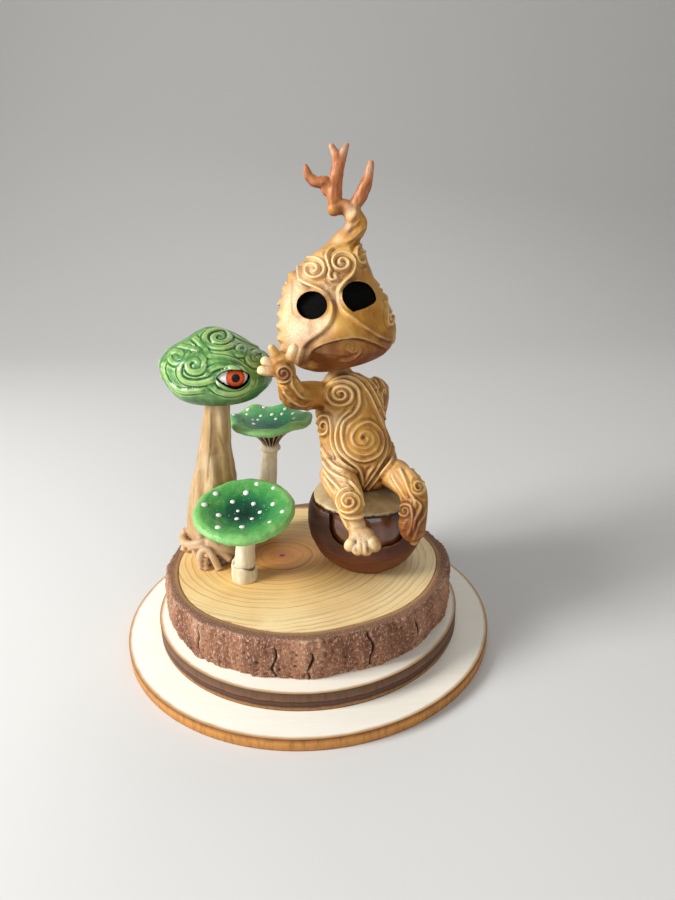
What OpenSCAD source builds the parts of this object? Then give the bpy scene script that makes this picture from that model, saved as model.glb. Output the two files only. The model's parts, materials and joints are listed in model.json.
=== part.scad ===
// Tree spirit figurine: a carved spirit sits on a big seed beside three toadstools, on a log slice
// that stands on two plywood discs. Its head turns on a neck peg.
// Millimetres, +Z up. The origin is the centre of the plate's underside, and the face looks to -Y.

/* [Base] */
// Diameter of the plywood plate at the bottom
plate_d = 120; // [112:1:140]
// Thickness of the plate
plate_t = 4; // [3:0.5:6]
// Diameter of the plywood riser on the plate
riser_d = 99; // [96:1:108]
// Thickness of the riser
riser_t = 6; // [4:0.5:9]
// Width of the log slice's wood across the front, without its bark
wood_w = 85.4; // [82:0.2:88]
// Depth of the log slice's wood from front to back, without its bark
wood_d = 78.8; // [77:0.2:82]
// Mean thickness of the bark
bark_t = 4; // [3:0.5:5]
// Thickness of the log slice
slice_t = 13.5; // [10:0.5:20]

/* [Seat] */
// Where the seat stands on the slice, to the right of the middle
seat_x = 20; // [18:0.5:22]
// Where the seat stands on the slice, behind the middle
seat_y = 1; // [0:0.5:2]
// Outer radius of the seed cup
cup_r = 19.2; // [18.8:0.1:19.4]
// Wall of the seed cup
cup_wall = 2.2; // [1.8:0.1:2.3]
// Radius of the glossy seed in the cup
seed_r = 15.8; // [15:0.1:16.2]
// Corner radius of the opening in the front of the cup
notch_r = 6; // [4:0.5:7]

/* [Figure] */
// Diameter of the neck peg that the head turns on
peg_d = 3.2; // [2.6:0.1:3.6]
// Gap between the peg and its bore in the head, on the radius
peg_play = 0.05; // [0.02:0.01:0.1]
// Diameter of the eyes
eye_d = 8.5; // [6:0.1:9]
// Diameter of the wire pins in the limbs
limb_pin_d = 1.6; // [1:0.1:2]
// Diameter of the wire pins in the topknot and antlers
antler_pin_d = 1; // [0.8:0.1:1.2]
// Diameter of the core pins in the seat and the stems
core_d = 2.6; // [2:0.1:3]

/* [Toadstools] */
// Radius of the dished toadstool's cap
dish_r = 15.6; // [13:0.2:15.8]
// Tilt of the dished cap towards the front
dish_tilt = 12; // [6:1:14]
// Radius of the funnel toadstool's cap
funnel_r = 14.2; // [12:0.2:15]
// Number of gills under each open cap
gill_count = 18; // [12:1:24]

/* [Hidden] */
$fn = 64;
// Glue gap that keeps neighbouring solids apart
gap = 0.05;
// Depth of the core pins' holes in the slice
pin_depth = 8;
slice_bottom = plate_t + riser_t;
slice_top = slice_bottom + slice_t;
slice_steps = 96;

// Heights on the seat, from the slice's top
cup_centre_z = 16;
cup_rim_z = 22.5;
cup_floor_z = 2.5;
crown_z = cup_rim_z + gap;
crown_top_z = 26;
crown_r = 17;
crown_edge_t = 1.8;
crown_rows = [
    [crown_r - 0.4, crown_z], [crown_r, crown_z + 0.5], [crown_r, crown_z + crown_edge_t],
    [crown_r - 2, crown_top_z - 1], [crown_r - 5, crown_top_z - 0.2], [crown_r - 7, crown_top_z]];
notch_sides = [-13.4, 13.4];
notch_floor_z = 12;
cup_steps = 16;

// Neck: the axis is upright, from the seat's middle on the slice's top
neck_at = [-7.7, 4];
peg_low = 52;
peg_high = 77;
peg_end_gap = 0.3;
seat_pin_at = [-0.5, 1];
seat_pin_high = 38;

// Places of the toadstools on the slice
eye_toadstool_at = [-32.3, 8];
funnel_toadstool_at = [-14.8, 21];
dish_toadstool_at = [-19.7, -10.5];

// Torso rings: x, y, z and two radii, from the seat's middle on the slice's top
torso_rows = [
    [-1, 1.5, 26.05, 7, 6],
    [-1, 1.5, 28, 10, 8.6],
    [-1.3, 1.5, 30.5, 11.5, 9.4],
    [-1.8, 1.8, 33.5, 11.9, 9.6],
    [-2.8, 2, 39.5, 11.4, 9.6],
    [-4.6, 2.8, 45.5, 10.7, 8.8],
    [-5, 3.5, 50.5, 10.6, 8],
    [-5, 4, 55, 10.4, 7.4],
    [-4.9, 4.2, 58.5, 9, 6.2],
    [-6.4, 4.2, 61.1, 6.2, 4.8],
    [-7.5, 4, 62.9, 3.6, 3.5],
    [-7.7, 4, 64.5, 3, 3]];

// Head rings, as for the torso
head_rows = [
    [-12.8, 2.5, 65.1, 4.2, 6.5],
    [-11.8, 2.2, 66.5, 8.8, 9.5],
    [-10.2, 2, 68, 12, 12],
    [-8.8, 1.8, 70.3, 15, 14.3],
    [-8.3, 1.6, 73.3, 16.7, 15.6],
    [-8.1, 1.8, 77, 17.2, 16],
    [-8.6, 2.2, 81.5, 16.3, 15.4],
    [-9.2, 2.6, 85.7, 14.9, 14.4],
    [-9.7, 3, 90.3, 12.7, 12.6],
    [-9.2, 3, 93.5, 11, 11],
    [-8.5, 3, 95.9, 9.3, 9.5],
    [-7.2, 3, 98.1, 7.6, 7.8],
    [-6.4, 3, 99.9, 5.8, 6],
    [-5.8, 3, 101.1, 4.2, 4.2]];
head_squareness = 2.3;

// Eyes: place on the face, turn about Z and tilt back
eye_right_at = [-15.2, -10, 86];
eye_right_turn = -18;
eye_left_at = [-2.4, -8.8, 87.8];
eye_left_turn = 23;
eye_tilt = -23;
eye_flatness = 0.4;

// Limb spines: x, y, z, then one radius or two, from the seat's middle on the slice's top
topknot_spine = [
    [-6, 3, 99.4, 4.4],
    [-4.6, 3, 102, 3.7],
    [-3.1, 3, 103.9, 3.2],
    [-2.2, 3, 106.6, 2.8],
    [-3.3, 3, 109.4, 2.5],
    [-5.2, 3, 110.8, 2.1],
    [-7, 3, 110.9, 1.9],
    [-8.7, 3, 110.3, 1.9]];
antler_right_spine = [
    [-8.6, 3, 111.6, 1.6],
    [-8.4, 3, 113.9, 2],
    [-8, 3, 116.8, 1.8],
    [-7.4, 3, 120.1, 1.7],
    [-6.8, 3, 122.4, 1.6]];
antler_right_tines = [
    [[-7, 3, 121.6, 1.4], [-7.6, 3, 124.4, 1.2], [-8.8, 3, 126.8, 0.7]],
    [[-6.8, 3, 121.6, 1.4], [-5.8, 3, 124.4, 1.2], [-4.6, 3, 126.8, 0.7]],
    [[-8.2, 3, 116, 1.5], [-10.6, 3, 117.6, 1.5], [-13.2, 3, 117.6, 1.5],
        [-15.2, 3, 119.4, 1.3], [-15.9, 3, 121.8, 0.7]],
    [[-8.4, 3, 114, 1.2], [-10.6, 3, 115.4, 1.1], [-11.6, 3, 117.2, 1.1]]];
antler_left_spine = [
    [-3.6, 3, 110.4, 1.5],
    [-1.8, 3, 112.4, 1.9],
    [0, 3, 115.4, 1.8],
    [1.2, 3, 118.4, 1.5],
    [2, 3, 122.2, 0.7]];
arm_right_spine = [
    [-12, 2.5, 56, 4.2],
    [-17, -1, 57, 4.2],
    [-21.5, -6.8, 59.1, 4.1],
    [-22.3, -10.5, 62.5, 3.5],
    [-22.8, -13, 65.3, 3]];
palm_right_spine = [
    [-22.8, -13.5, 66.4, 2.7, 2.4],
    [-23.7, -14, 68.7, 3.4, 2.4],
    [-24.2, -14, 70.7, 2.9, 2.2]];
fingers_right = [
    [[-24.8, -14, 71.2, 1.5], [-25.8, -14, 73.5, 1.4], [-26.6, -13.8, 74.9, 1.1]],
    [[-25.2, -14, 69.8, 1.5], [-27, -14, 70.7, 1.4], [-28.4, -13.8, 71.3, 1.1]],
    [[-25.4, -14, 68.1, 1.5], [-27.8, -14, 68.3, 1.4], [-29.8, -13.8, 68.6, 1.1]],
    [[-22.6, -14, 70.5, 1.5], [-21.4, -14.2, 72.9, 1.4], [-20.4, -14.2, 74.8, 1.1]]];
arm_left_spine = [
    [-0.5, 3.6, 56, 3.8],
    [3.4, 7, 56.4, 3.7],
    [4.6, 10.8, 52.5, 3.3],
    [4.2, 13.8, 45.5, 3],
    [3.6, 15.2, 37.5, 2.8],
    [3.2, 14.8, 31.5, 2.5]];
palm_left_spine = [
    [3.4, 14.3, 30.6, 2.5, 2.2],
    [3.2, 13.8, 29.6, 2.9, 1.9],
    [3, 13.6, 29.1, 2.6, 1.6]];
fingers_left = [
    [[1.6, 14, 28.4, 1.3], [0.6, 15.2, 27.6, 1.2], [-0.2, 16, 27.2, 1]],
    [[3.2, 14.2, 28.4, 1.3], [3, 15.8, 27.6, 1.2], [2.8, 16.8, 27.2, 1]],
    [[4.6, 14, 28.4, 1.3], [5.2, 15.2, 27.6, 1.2], [5.6, 16, 27.2, 1]]];
leg_right_spine = [
    [-6.5, 1, 33, 6],
    [-9.2, -6, 32.6, 5.6],
    [-7.4, -12, 31, 5],
    [-5.9, -16.4, 29.2, 4.4],
    [-5.4, -20, 26.8, 3.6],
    [-4.6, -21.9, 24.4, 3],
    [-3.8, -22.5, 22.8, 2.7]];
foot_right_spine = [
    [-3.7, -22.7, 22, 2.7, 2.7],
    [-3, -23.5, 20.7, 3.9, 3.1],
    [-2.5, -24, 19.6, 4, 3]];
toes_right = [
    [[-4.5, -24.4, 19.5, 1.9], [-6, -26, 18.8, 1.7]],
    [[-3.4, -25, 19.2, 1.9], [-3.8, -27, 18.2, 1.7]],
    [[-1.6, -25, 19.2, 2], [-1.4, -27, 18, 1.8]],
    [[0, -24.4, 19.5, 2.2], [1, -26, 18.8, 2]]];
leg_left_spine = [
    [3, 0, 32.6, 5.4],
    [8.6, -5, 32, 4.8],
    [12.8, -12.6, 30.8, 4.3],
    [13.4, -17.8, 28.2, 3.9],
    [12.8, -20.7, 25, 4],
    [12.6, -21, 22.6, 3.9]];
foot_left_spine = [
    [12.7, -21.1, 21.8, 3.8, 3],
    [12.9, -21.4, 19.6, 3.4, 2.6],
    [13.2, -21.6, 17.8, 1.6, 1.4]];

// Wire pins in the limbs: inner end and outer end
shoulder_pin_ends = [
    [[-10.8, 3, 56], [-18, -2, 57.4]],
    [[-1, 4.4, 56], [5.2, 8, 56]]];
hip_pin_ends = [
    [[-6, 0, 33], [-8.6, -8, 32]],
    [[4, 0, 33.6], [11, -6.6, 33.6]]];
topknot_pin_ends = [[-6.6, 3, 94], [-4.6, 3, 103]];
antler_pin_ends = [
    [[-8.7, 3, 109], [-8.3, 3, 115]],
    [[-4.6, 3, 109.6], [-2.2, 3, 112]]];

// Eye toadstool, from its foot on the slice: rings of the stem and of the cap
eye_stem_rows = [
    [0, 0, 0.05, 9.4, 9],
    [0, 0, 8.5, 8.9, 8.6],
    [1, 0, 16.5, 8.6, 8.4],
    [2.1, 0, 23.5, 8.1, 8],
    [3, 0, 30.5, 6.9, 6.8],
    [3.8, -0.1, 37.5, 5.8, 5.8],
    [5, -0.3, 46.5, 4.6, 4.6],
    [5.8, -0.5, 53.5, 3.8, 3.8],
    [6, -0.5, 56, 4, 4]];
eye_cap_rows = [
    [6, -0.6, 56.1, 4.4, 4.4],
    [7.3, -1.5, 55.2, 10, 9],
    [6.9, -2, 57.2, 13.1, 11.8],
    [6.9, -2, 60.9, 16.2, 14.2],
    [6.6, -2, 64.7, 17.2, 15],
    [6.1, -2, 67.9, 16.4, 14.4],
    [5.9, -2, 71.5, 13, 12],
    [6.4, -1.6, 73.8, 8.8, 9],
    [5.9, -1.2, 75.6, 5.6, 6],
    [5.7, -1, 77, 2.2, 2.4]];

// Its roots as angle and reach, and the rope of roots that rings the stem
root_rows = [
    [180, 11.6], [216, 12.6], [246, 14.4], [276, 15.8], [304, 15],
    [338, 12.5], [30, 12], [85, 12.5], [135, 11]];
root_ring_r = 9.6;
root_ring_t = 3.2;
root_ring_z = 6.2;
root_cut_h = 10;
flute_count = 7;
flute_depth = 0.06;
flute_twist = 70;
cap_eye_at = [13.5, -15.4, 65];
cap_eye_turn = 20;
cap_eye_size = [4.6, 2.6, 3.1];
eye_stem_pin_ends = [[0, 0, -pin_depth], [5.9, -0.5, 66]];

// Funnel toadstool, from its foot on the slice
funnel_stem_rows = [
    [0, 0, 0.05, 3.8, 3.8],
    [0.4, 0, 12.5, 3.4, 3.4],
    [1.1, 0, 21.5, 3.2, 3.2],
    [2.2, 0, 29.5, 2.6, 2.6],
    [2.6, 0, 33.6, 2.5, 2.5]];
funnel_top = [2.8, 0];
funnel_collar_at = [2.5, 0, 31.8];
funnel_collar_r = [3.6, 3.2];
funnel_collar_h = 1.4;
funnel_gill_r = [2.8, 6.6];
funnel_gill_z = 33.7;
funnel_cap_z = 38.3;
funnel_pin_ends = [[0, 0, -pin_depth], [2.6, 0, 39.4]];
// Profile of the wavy cap: radius as a share of its radius, height, share of the waves
funnel_profile = [
    [0.06, 0, 0], [0.35, 0.1, 0.05], [0.48, 0.5, 0.1], [0.7, 1.7, 0.4], [0.91, 2.9, 0.8], [1, 3.9, 1],
    [0.99, 4.8, 1], [0.93, 5.4, 1], [0.8, 5.1, 0.8], [0.6, 3.8, 0.4], [0.35, 2.6, 0.1], [0.07, 1.9, 0]];
wave_height = 1.1;
wave_reach = 0.05;

// Dished toadstool, from its foot on the slice
dish_stem_rows = [
    [0, 0, 0.05, 3.3, 3.3],
    [0.5, -0.2, 6, 3.3, 3.3],
    [1.2, -0.5, 12, 3, 3],
    [1.9, -0.7, 17.2, 3.1, 3.1]];
volva_at = [0.2, 0, gap];
volva_r = [4.6, 4.4];
volva_h = 5;
dish_cap_at = [1.9, -2.5, 26.5];
dish_pin_ends = [[0, 0, -pin_depth], [1.9, -1.2, 22.4]];
// Profile of the dished cap: radius as a share of its radius, and height from the rim
dish_profile = [
    [0, -2.6], [0.26, -2.4], [0.5, -1.6], [0.73, -0.4], [0.86, 0.1], [0.95, -0.3], [1, -1.4],
    [0.97, -2.6], [0.86, -3.4], [0.6, -4.5], [0.3, -5], [0, -5]];
dish_gill_z = -8.7;
dish_gill_h = 3.6;
dish_gill_r = [3.4, 9.5];
// Gills: their thickness, and how far they stand out of the core at the stem and at the cap
gill_t = 0.5;
gill_out = [0.4, 0.8];
gill_root = [1.4, 2];

// Curves and skins

function unit(v) = v / norm(v);
function place(row) = [row[0], row[1], row[2]];
function second_radius(row) = len(row) > 4 ? row[4] : row[3];
function mean(points) = points * [for (p = points) 1] / len(points);
function middle(points) = [for (k = [0:2]) mean([for (p = points) p[k]])];

// A point on the smooth curve from b to c, with a and d as its neighbours
function on_curve(a, b, c, d, t) =
    0.5 * (2 * b + (c - a) * t + (2 * a - 5 * b + 4 * c - d) * t * t + (3 * b - a - 3 * c + d) * t * t * t);

// The rows, with more between them on a smooth curve
function smooth(rows, steps) = let (last = len(rows) - 1) [
    for (i = [0:last - 1])
        for (k = [0:steps - 1])
            on_curve(rows[max(i - 1, 0)], rows[i], rows[i + 1], rows[min(i + 2, last)], k / steps),
    rows[last]];

// A rounded ring that lies flat, a little square where squareness is over 2
function flat_ring(row, sides, squareness, grow) = [
    for (k = [0:sides - 1])
        let (c = cos(360 * k / sides), s = sin(360 * k / sides), bend = 2 / squareness)
            [row[0] + (row[3] + grow) * sign(c) * pow(abs(c), bend),
             row[1] + (row[4] + grow) * sign(s) * pow(abs(s), bend),
             row[2]]];

// A ring across a spine that runs along the tangent
function spine_ring(row, tangent, side, sides, grow) =
    let (u = unit(cross(side, tangent)) * (row[3] + grow),
         v = cross(tangent, unit(cross(side, tangent))) * (second_radius(row) + grow))
        [for (k = [0:sides - 1]) place(row) + cos(360 * k / sides) * u + sin(360 * k / sides) * v];

function tangent_at(rows, i) = unit(place(rows[min(i + 1, len(rows) - 1)]) - place(rows[max(i - 1, 0)]));

// One end ring of a rounded tip, at an angle from the last full ring
function tip_row(row, outward, angle) =
    let (p = place(row) + outward * row[3] * sin(angle))
        [p[0], p[1], p[2], row[3] * cos(angle), second_radius(row) * cos(angle)];

// Closed skin over a stack of rings with the same number of points
module skin(rings) {
    n = len(rings[0]);
    m = len(rings);
    points = [for (ring = rings) each ring, middle(rings[0]), middle(rings[m - 1])];
    sides = [
        for (i = [0:m - 2])
            for (j = [0:n - 1])
                let (a = i * n + j, b = i * n + (j + 1) % n)
                    each [[a, b + n, b], [a, a + n, b + n]]];
    bottom = [for (j = [0:n - 1]) [m * n, j, (j + 1) % n]];
    top = [for (j = [0:n - 1]) [m * n + 1, (m - 1) * n + (j + 1) % n, (m - 1) * n + j]];
    polyhedron(points, concat(sides, bottom, top), convexity = 8);
}

// Body made of flat rings, smoothed between the given rows
module body(rows, sides = 24, steps = 2, squareness = 2, grow = 0)
    skin([for (row = smooth(rows, steps)) flat_ring(row, sides, squareness, grow)]);

// Limb along a spine with rounded tips
module limb(spine, sides = 12, steps = 3, side = [0, 1, 0], grow = 0) {
    rows = smooth([for (row = spine) [row[0], row[1], row[2], row[3], second_radius(row)]], steps);
    last = len(rows) - 1;
    start = tangent_at(rows, 0);
    end = tangent_at(rows, last);
    skin([
        for (angle = [65, 35]) spine_ring(tip_row(rows[0], -start, angle), start, side, sides, grow),
        for (i = [0:last]) spine_ring(rows[i], tangent_at(rows, i), side, sides, grow),
        for (angle = [35, 65]) spine_ring(tip_row(rows[last], end, angle), end, side, sides, grow)]);
}

// Straight round rod between two points
module rod(ends, d) {
    run = ends[1] - ends[0];
    lean = acos(run[2] / norm(run));
    heading = atan2(run[1], run[0]);
    translate(ends[0])
        rotate([0, lean, heading])
            cylinder(d = d, h = norm(run));
}

module on_slice(at) translate([at[0], at[1], slice_top]) children();

module on_seat() on_slice([seat_x, seat_y]) children();

// Base

function oval_edge(a) = wood_w * wood_d / 2 / norm([wood_d * cos(a), wood_w * sin(a)]);
function wood_edge(a) = oval_edge(a) + 0.3 * sin(3 * a + 40) + 0.25 * sin(7 * a + 10);
function bark_edge(a) = wood_edge(a) + bark_t + 0.3 * sin(5 * a) + 0.3 * sin(16 * a + 30);
function outline(edge) = [
    for (k = [0:slice_steps - 1])
        let (a = 360 * k / slice_steps)
            edge(a) * [cos(a), sin(a)]];

module core_pins(extra) {
    on_seat() rod([concat(seat_pin_at, -pin_depth), concat(seat_pin_at, seat_pin_high)], core_d + extra);
    on_slice(eye_toadstool_at) rod(eye_stem_pin_ends, core_d + extra);
    on_slice(funnel_toadstool_at) rod(funnel_pin_ends, core_d + extra);
    on_slice(dish_toadstool_at) rod(dish_pin_ends, core_d + extra);
}

module base_plate()
    color("burlywood")
        cylinder(d = plate_d, h = plate_t);

module riser_disc()
    color("saddlebrown")
        translate([0, 0, plate_t])
            cylinder(d = riser_d, h = riser_t);

module log_slice()
    color("goldenrod")
        difference() {
            translate([0, 0, slice_bottom])
                linear_extrude(slice_t)
                    polygon(outline(function (a) wood_edge(a) - gap));
            core_pins(2 * gap);
        }

module bark_ring()
    color("sienna")
        translate([0, 0, slice_bottom])
            linear_extrude(slice_t)
                difference() {
                    polygon(outline(function (a) bark_edge(a)));
                    polygon(outline(function (a) wood_edge(a)));
                }

// Seat

// Outline of a ball from its axis, cut flat at two heights
function ball_outline(r, low_z, high_z) =
    let (low = asin((low_z - cup_centre_z) / r), high = asin((high_z - cup_centre_z) / r))
        concat(
            [[0, low_z]],
            [for (k = [0:cup_steps])
                let (a = low + (high - low) * k / cup_steps)
                    [r * cos(a), cup_centre_z + r * sin(a)]],
            [[0, high_z]]);

module seat_pin()
    color("silver")
        on_seat()
            rod([concat(seat_pin_at, -pin_depth), concat(seat_pin_at, seat_pin_high)], core_d);

// Opening in the front of the cup, with its two lower corners rounded
module cup_notch() {
    corners = notch_sides + [notch_r, -notch_r];
    translate([notch_sides[0], -2 * cup_r, notch_floor_z + notch_r])
        cube([notch_sides[1] - notch_sides[0], 2 * cup_r, cup_r]);
    translate([corners[0], -2 * cup_r, notch_floor_z])
        cube([corners[1] - corners[0], 2 * cup_r, cup_r]);
    for (x = corners)
        translate([x, 0, notch_floor_z + notch_r])
            rotate([90, 0, 0])
                cylinder(r = notch_r, h = 2 * cup_r);
}

module seed_cup()
    color("saddlebrown")
        difference() {
            on_seat()
                rotate_extrude()
                    difference() {
                        polygon(ball_outline(cup_r, 0, cup_rim_z));
                        polygon(ball_outline(cup_r - cup_wall, cup_floor_z, cup_rim_z + 1));
                    }
            on_seat()
                cup_notch();
            core_pins(2 * gap);
        }

module seed()
    color("maroon")
        difference() {
            on_seat()
                rotate_extrude()
                    polygon(ball_outline(seed_r, cup_floor_z + gap, cup_rim_z));
            core_pins(2 * gap);
        }

module seed_crown()
    color("wheat")
        difference() {
            on_seat()
                rotate_extrude()
                    polygon(concat([[0, crown_z]], crown_rows, [[0, crown_top_z]]));
            core_pins(2 * gap);
        }

// Figure

module torso_skin(grow = 0) body(torso_rows, grow = grow);

module head_skin(grow = 0) body(head_rows, sides = 28, squareness = head_squareness, grow = grow);

module topknot_skin(grow = 0) limb(topknot_spine, side = [0, 1, 0], grow = grow);

module peg(extra = 0)
    translate([neck_at[0], neck_at[1], peg_low])
        cylinder(d = peg_d + extra, h = peg_high - peg_low);

module limb_pins(ends, extra = 0)
    for (pair = ends)
        rod(pair, limb_pin_d + extra);

module antler_wires(extra = 0)
    for (pair = antler_pin_ends)
        rod(pair, antler_pin_d + extra);

// Flattened ball whose poles lie on its flat axis, clear of the pocket's rim
module eye_ball(at, turn, grow = 0)
    translate(at)
        rotate([eye_tilt, 0, turn])
            scale([1, eye_flatness, 1])
                rotate([90, 0, 0])
                    sphere(d = eye_d + 2 * grow);

module torso()
    color("peru")
        difference() {
            on_seat() torso_skin();
            core_pins(2 * gap);
            on_seat() peg(2 * gap);
            on_seat() limb_pins(shoulder_pin_ends, 2 * gap);
            on_seat() limb_pins(hip_pin_ends, 2 * gap);
        }

module shoulder_pins() color("silver") on_seat() limb_pins(shoulder_pin_ends);

module hip_pins() color("silver") on_seat() limb_pins(hip_pin_ends);

module neck_peg() color("tan") on_seat() peg();

module head()
    color("peru")
        on_seat()
            difference() {
                head_skin();
                translate([0, 0, peg_end_gap]) peg(2 * peg_play);
                eye_ball(eye_right_at, eye_right_turn, gap);
                eye_ball(eye_left_at, eye_left_turn, gap);
                rod(topknot_pin_ends, limb_pin_d + 2 * gap);
            }

module eye_right() color("black") on_seat() eye_ball(eye_right_at, eye_right_turn);

module eye_left() color("black") on_seat() eye_ball(eye_left_at, eye_left_turn);

module topknot()
    color("rosybrown")
        on_seat()
            difference() {
                topknot_skin();
                head_skin(gap);
                rod(topknot_pin_ends, limb_pin_d + 2 * gap);
                antler_wires(2 * gap);
            }

module topknot_pin() color("silver") on_seat() rod(topknot_pin_ends, limb_pin_d);

module antler_right()
    color("rosybrown")
        on_seat()
            difference() {
                union() {
                    limb(antler_right_spine, sides = 10);
                    for (tine = antler_right_tines)
                        limb(tine, sides = 8);
                }
                topknot_skin(gap);
                antler_wires(2 * gap);
            }

module antler_left()
    color("rosybrown")
        on_seat()
            difference() {
                limb(antler_left_spine, sides = 10);
                topknot_skin(gap);
                antler_wires(2 * gap);
            }

module antler_pins() color("silver") on_seat() antler_wires();

module arm_right_skin(grow = 0) limb(arm_right_spine, side = [0, 0, 1], grow = grow);

module arm_left_skin(grow = 0) limb(arm_left_spine, side = [1, 0, 0], grow = grow);

module leg_right_skin(grow = 0) limb(leg_right_spine, sides = 16, side = [1, 0, 0], grow = grow);

module leg_left_skin(grow = 0) limb(leg_left_spine, sides = 16, side = [1, 0, 0], grow = grow);

module arm_right()
    color("peru")
        on_seat()
            difference() {
                arm_right_skin();
                torso_skin(gap);
                limb_pins(shoulder_pin_ends, 2 * gap);
            }

module hand_right()
    color("peru")
        on_seat()
            difference() {
                union() {
                    limb(palm_right_spine, sides = 12);
                    for (finger = fingers_right)
                        limb(finger, sides = 8);
                }
                arm_right_skin(gap);
            }

module arm_left()
    color("peru")
        on_seat()
            difference() {
                arm_left_skin();
                torso_skin(gap);
                limb_pins(shoulder_pin_ends, 2 * gap);
            }

module hand_left()
    color("peru")
        on_seat()
            difference() {
                union() {
                    limb(palm_left_spine, sides = 12);
                    for (finger = fingers_left)
                        limb(finger, sides = 8, side = [0, 0, 1]);
                }
                arm_left_skin(gap);
            }

module leg_right()
    color("peru")
        on_seat()
            difference() {
                leg_right_skin();
                torso_skin(gap);
                limb_pins(hip_pin_ends, 2 * gap);
            }

module foot_right()
    color("peru")
        on_seat()
            difference() {
                union() {
                    limb(foot_right_spine, sides = 12);
                    for (toe = toes_right)
                        limb(toe, sides = 10, side = [0, 0, 1]);
                }
                leg_right_skin(gap);
            }

module leg_left()
    color("peru")
        on_seat()
            difference() {
                leg_left_skin();
                torso_skin(gap);
                limb_pins(hip_pin_ends, 2 * gap);
            }

module foot_left()
    color("peru")
        on_seat()
            difference() {
                limb(foot_left_spine, sides = 14);
                leg_left_skin(gap);
            }

// Eye toadstool

// Ring of the fluted stem, whose flutes wind round it as it rises
function fluted_ring(row, sides, grow) = [
    for (k = [0:sides - 1])
        let (a = 360 * k / sides, wind = flute_twist * row[2] / eye_stem_rows[len(eye_stem_rows) - 1][2],
             r = 1 + flute_depth * cos(flute_count * (a + wind)))
            [row[0] + (row[3] * r + grow) * cos(a), row[1] + (row[4] * r + grow) * sin(a), row[2]]];

module eye_stem_skin(grow = 0)
    skin([for (row = smooth(eye_stem_rows, 2)) fluted_ring(row, 42, grow)]);

// One root from the stem down to the slice, curling a little as it goes out: reach, turn, height, radius
function root_spine(angle, reach) = [
    for (row = [[8, 0, 6.4, 1.8], [9.8, 4, 4.6, 2.1], [0.84 * reach, 9, 2.4, 2], [reach - 1.2, 14, 1.2, 1.3]])
        [row[0] * cos(angle + row[1]), row[0] * sin(angle + row[1]), row[2], row[3]]];

module cap_eye(grow = 0)
    translate(cap_eye_at)
        rotate([0, 0, cap_eye_turn])
            scale([for (s = cap_eye_size) s + grow])
                sphere(r = 1);

module eye_toadstool_stem()
    color("tan")
        on_slice(eye_toadstool_at)
            difference() {
                eye_stem_skin();
                rod(eye_stem_pin_ends, core_d + 2 * gap);
            }

module eye_toadstool_roots()
    color("tan")
        on_slice(eye_toadstool_at)
            difference() {
                union() {
                    translate([0, 0, root_ring_z])
                        rotate_extrude()
                            translate([root_ring_r, 0])
                                circle(d = root_ring_t);
                    for (root = root_rows)
                        limb(root_spine(root[0], root[1]), sides = 8, side = [0, 0, 1]);
                }
                eye_stem_skin(gap);
                translate([0, 0, gap - root_cut_h])
                    cylinder(d = plate_d, h = root_cut_h);
            }

module eye_toadstool_cap()
    color("darkolivegreen")
        on_slice(eye_toadstool_at)
            difference() {
                body(eye_cap_rows, sides = 28);
                cap_eye(gap);
                rod(eye_stem_pin_ends, core_d + 2 * gap);
            }

module toadstool_eye() color("ivory") on_slice(eye_toadstool_at) cap_eye();

module eye_toadstool_pin() color("silver") on_slice(eye_toadstool_at) rod(eye_stem_pin_ends, core_d);

// Funnel and dished toadstools

// Cone of gills: a core and upright ribs that widen from the stem to the cap
module gill_cone(radii, h) {
    core = radii - gill_out;
    root = radii - gill_root;
    rotate_extrude()
        polygon([[0, 0], [core[0], 0], [core[1], h], [0, h]]);
    for (k = [0:gill_count - 1])
        rotate([90, 0, 360 * k / gill_count])
            linear_extrude(gill_t, center = true)
                polygon([[root[0], 0], [radii[0], 0], [radii[1], h], [root[1], h]]);
}

function wave(a) = 0.3 * cos(3 * a + 120) + 0.4 * sin(7 * a);

// Ring of the wavy cap at a share of its radius, a height and a share of its waves
function wavy_ring(row, sides) = [
    for (k = [0:sides - 1])
        let (a = 360 * k / sides, r = funnel_r * row[0] * (1 + wave_reach * row[2] * sin(3 * a + 70)))
            [r * cos(a), r * sin(a), row[1] + wave_height * row[2] * wave(a)]];

module funnel_stem_skin(grow = 0) body(funnel_stem_rows, sides = 16, grow = grow);

module dish_stem_skin(grow = 0) body(dish_stem_rows, sides = 20, grow = grow);

module in_funnel_top(z) translate([funnel_top[0], funnel_top[1], z]) children();

module in_dish() translate(dish_cap_at) rotate([dish_tilt, 0, 0]) children();

module funnel_toadstool_stem()
    color("cornsilk")
        on_slice(funnel_toadstool_at)
            difference() {
                funnel_stem_skin();
                rod(funnel_pin_ends, core_d + 2 * gap);
            }

module funnel_toadstool_collar()
    color("cornsilk")
        on_slice(funnel_toadstool_at)
            difference() {
                translate(funnel_collar_at)
                    cylinder(r1 = funnel_collar_r[0], r2 = funnel_collar_r[1], h = funnel_collar_h);
                funnel_stem_skin(gap);
            }

module funnel_toadstool_gills()
    color("dimgray")
        on_slice(funnel_toadstool_at)
            difference() {
                in_funnel_top(funnel_gill_z) gill_cone(funnel_gill_r, funnel_cap_z - funnel_gill_z - gap);
                rod(funnel_pin_ends, core_d + 2 * gap);
            }

module funnel_toadstool_cap()
    color("seagreen")
        on_slice(funnel_toadstool_at)
            difference() {
                in_funnel_top(funnel_cap_z) skin([for (row = smooth(funnel_profile, 2)) wavy_ring(row, 36)]);
                rod(funnel_pin_ends, core_d + 2 * gap);
            }

module funnel_toadstool_pin() color("silver") on_slice(funnel_toadstool_at) rod(funnel_pin_ends, core_d);

module dish_toadstool_stem()
    color("cornsilk")
        on_slice(dish_toadstool_at)
            difference() {
                dish_stem_skin();
                rod(dish_pin_ends, core_d + 2 * gap);
            }

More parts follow.
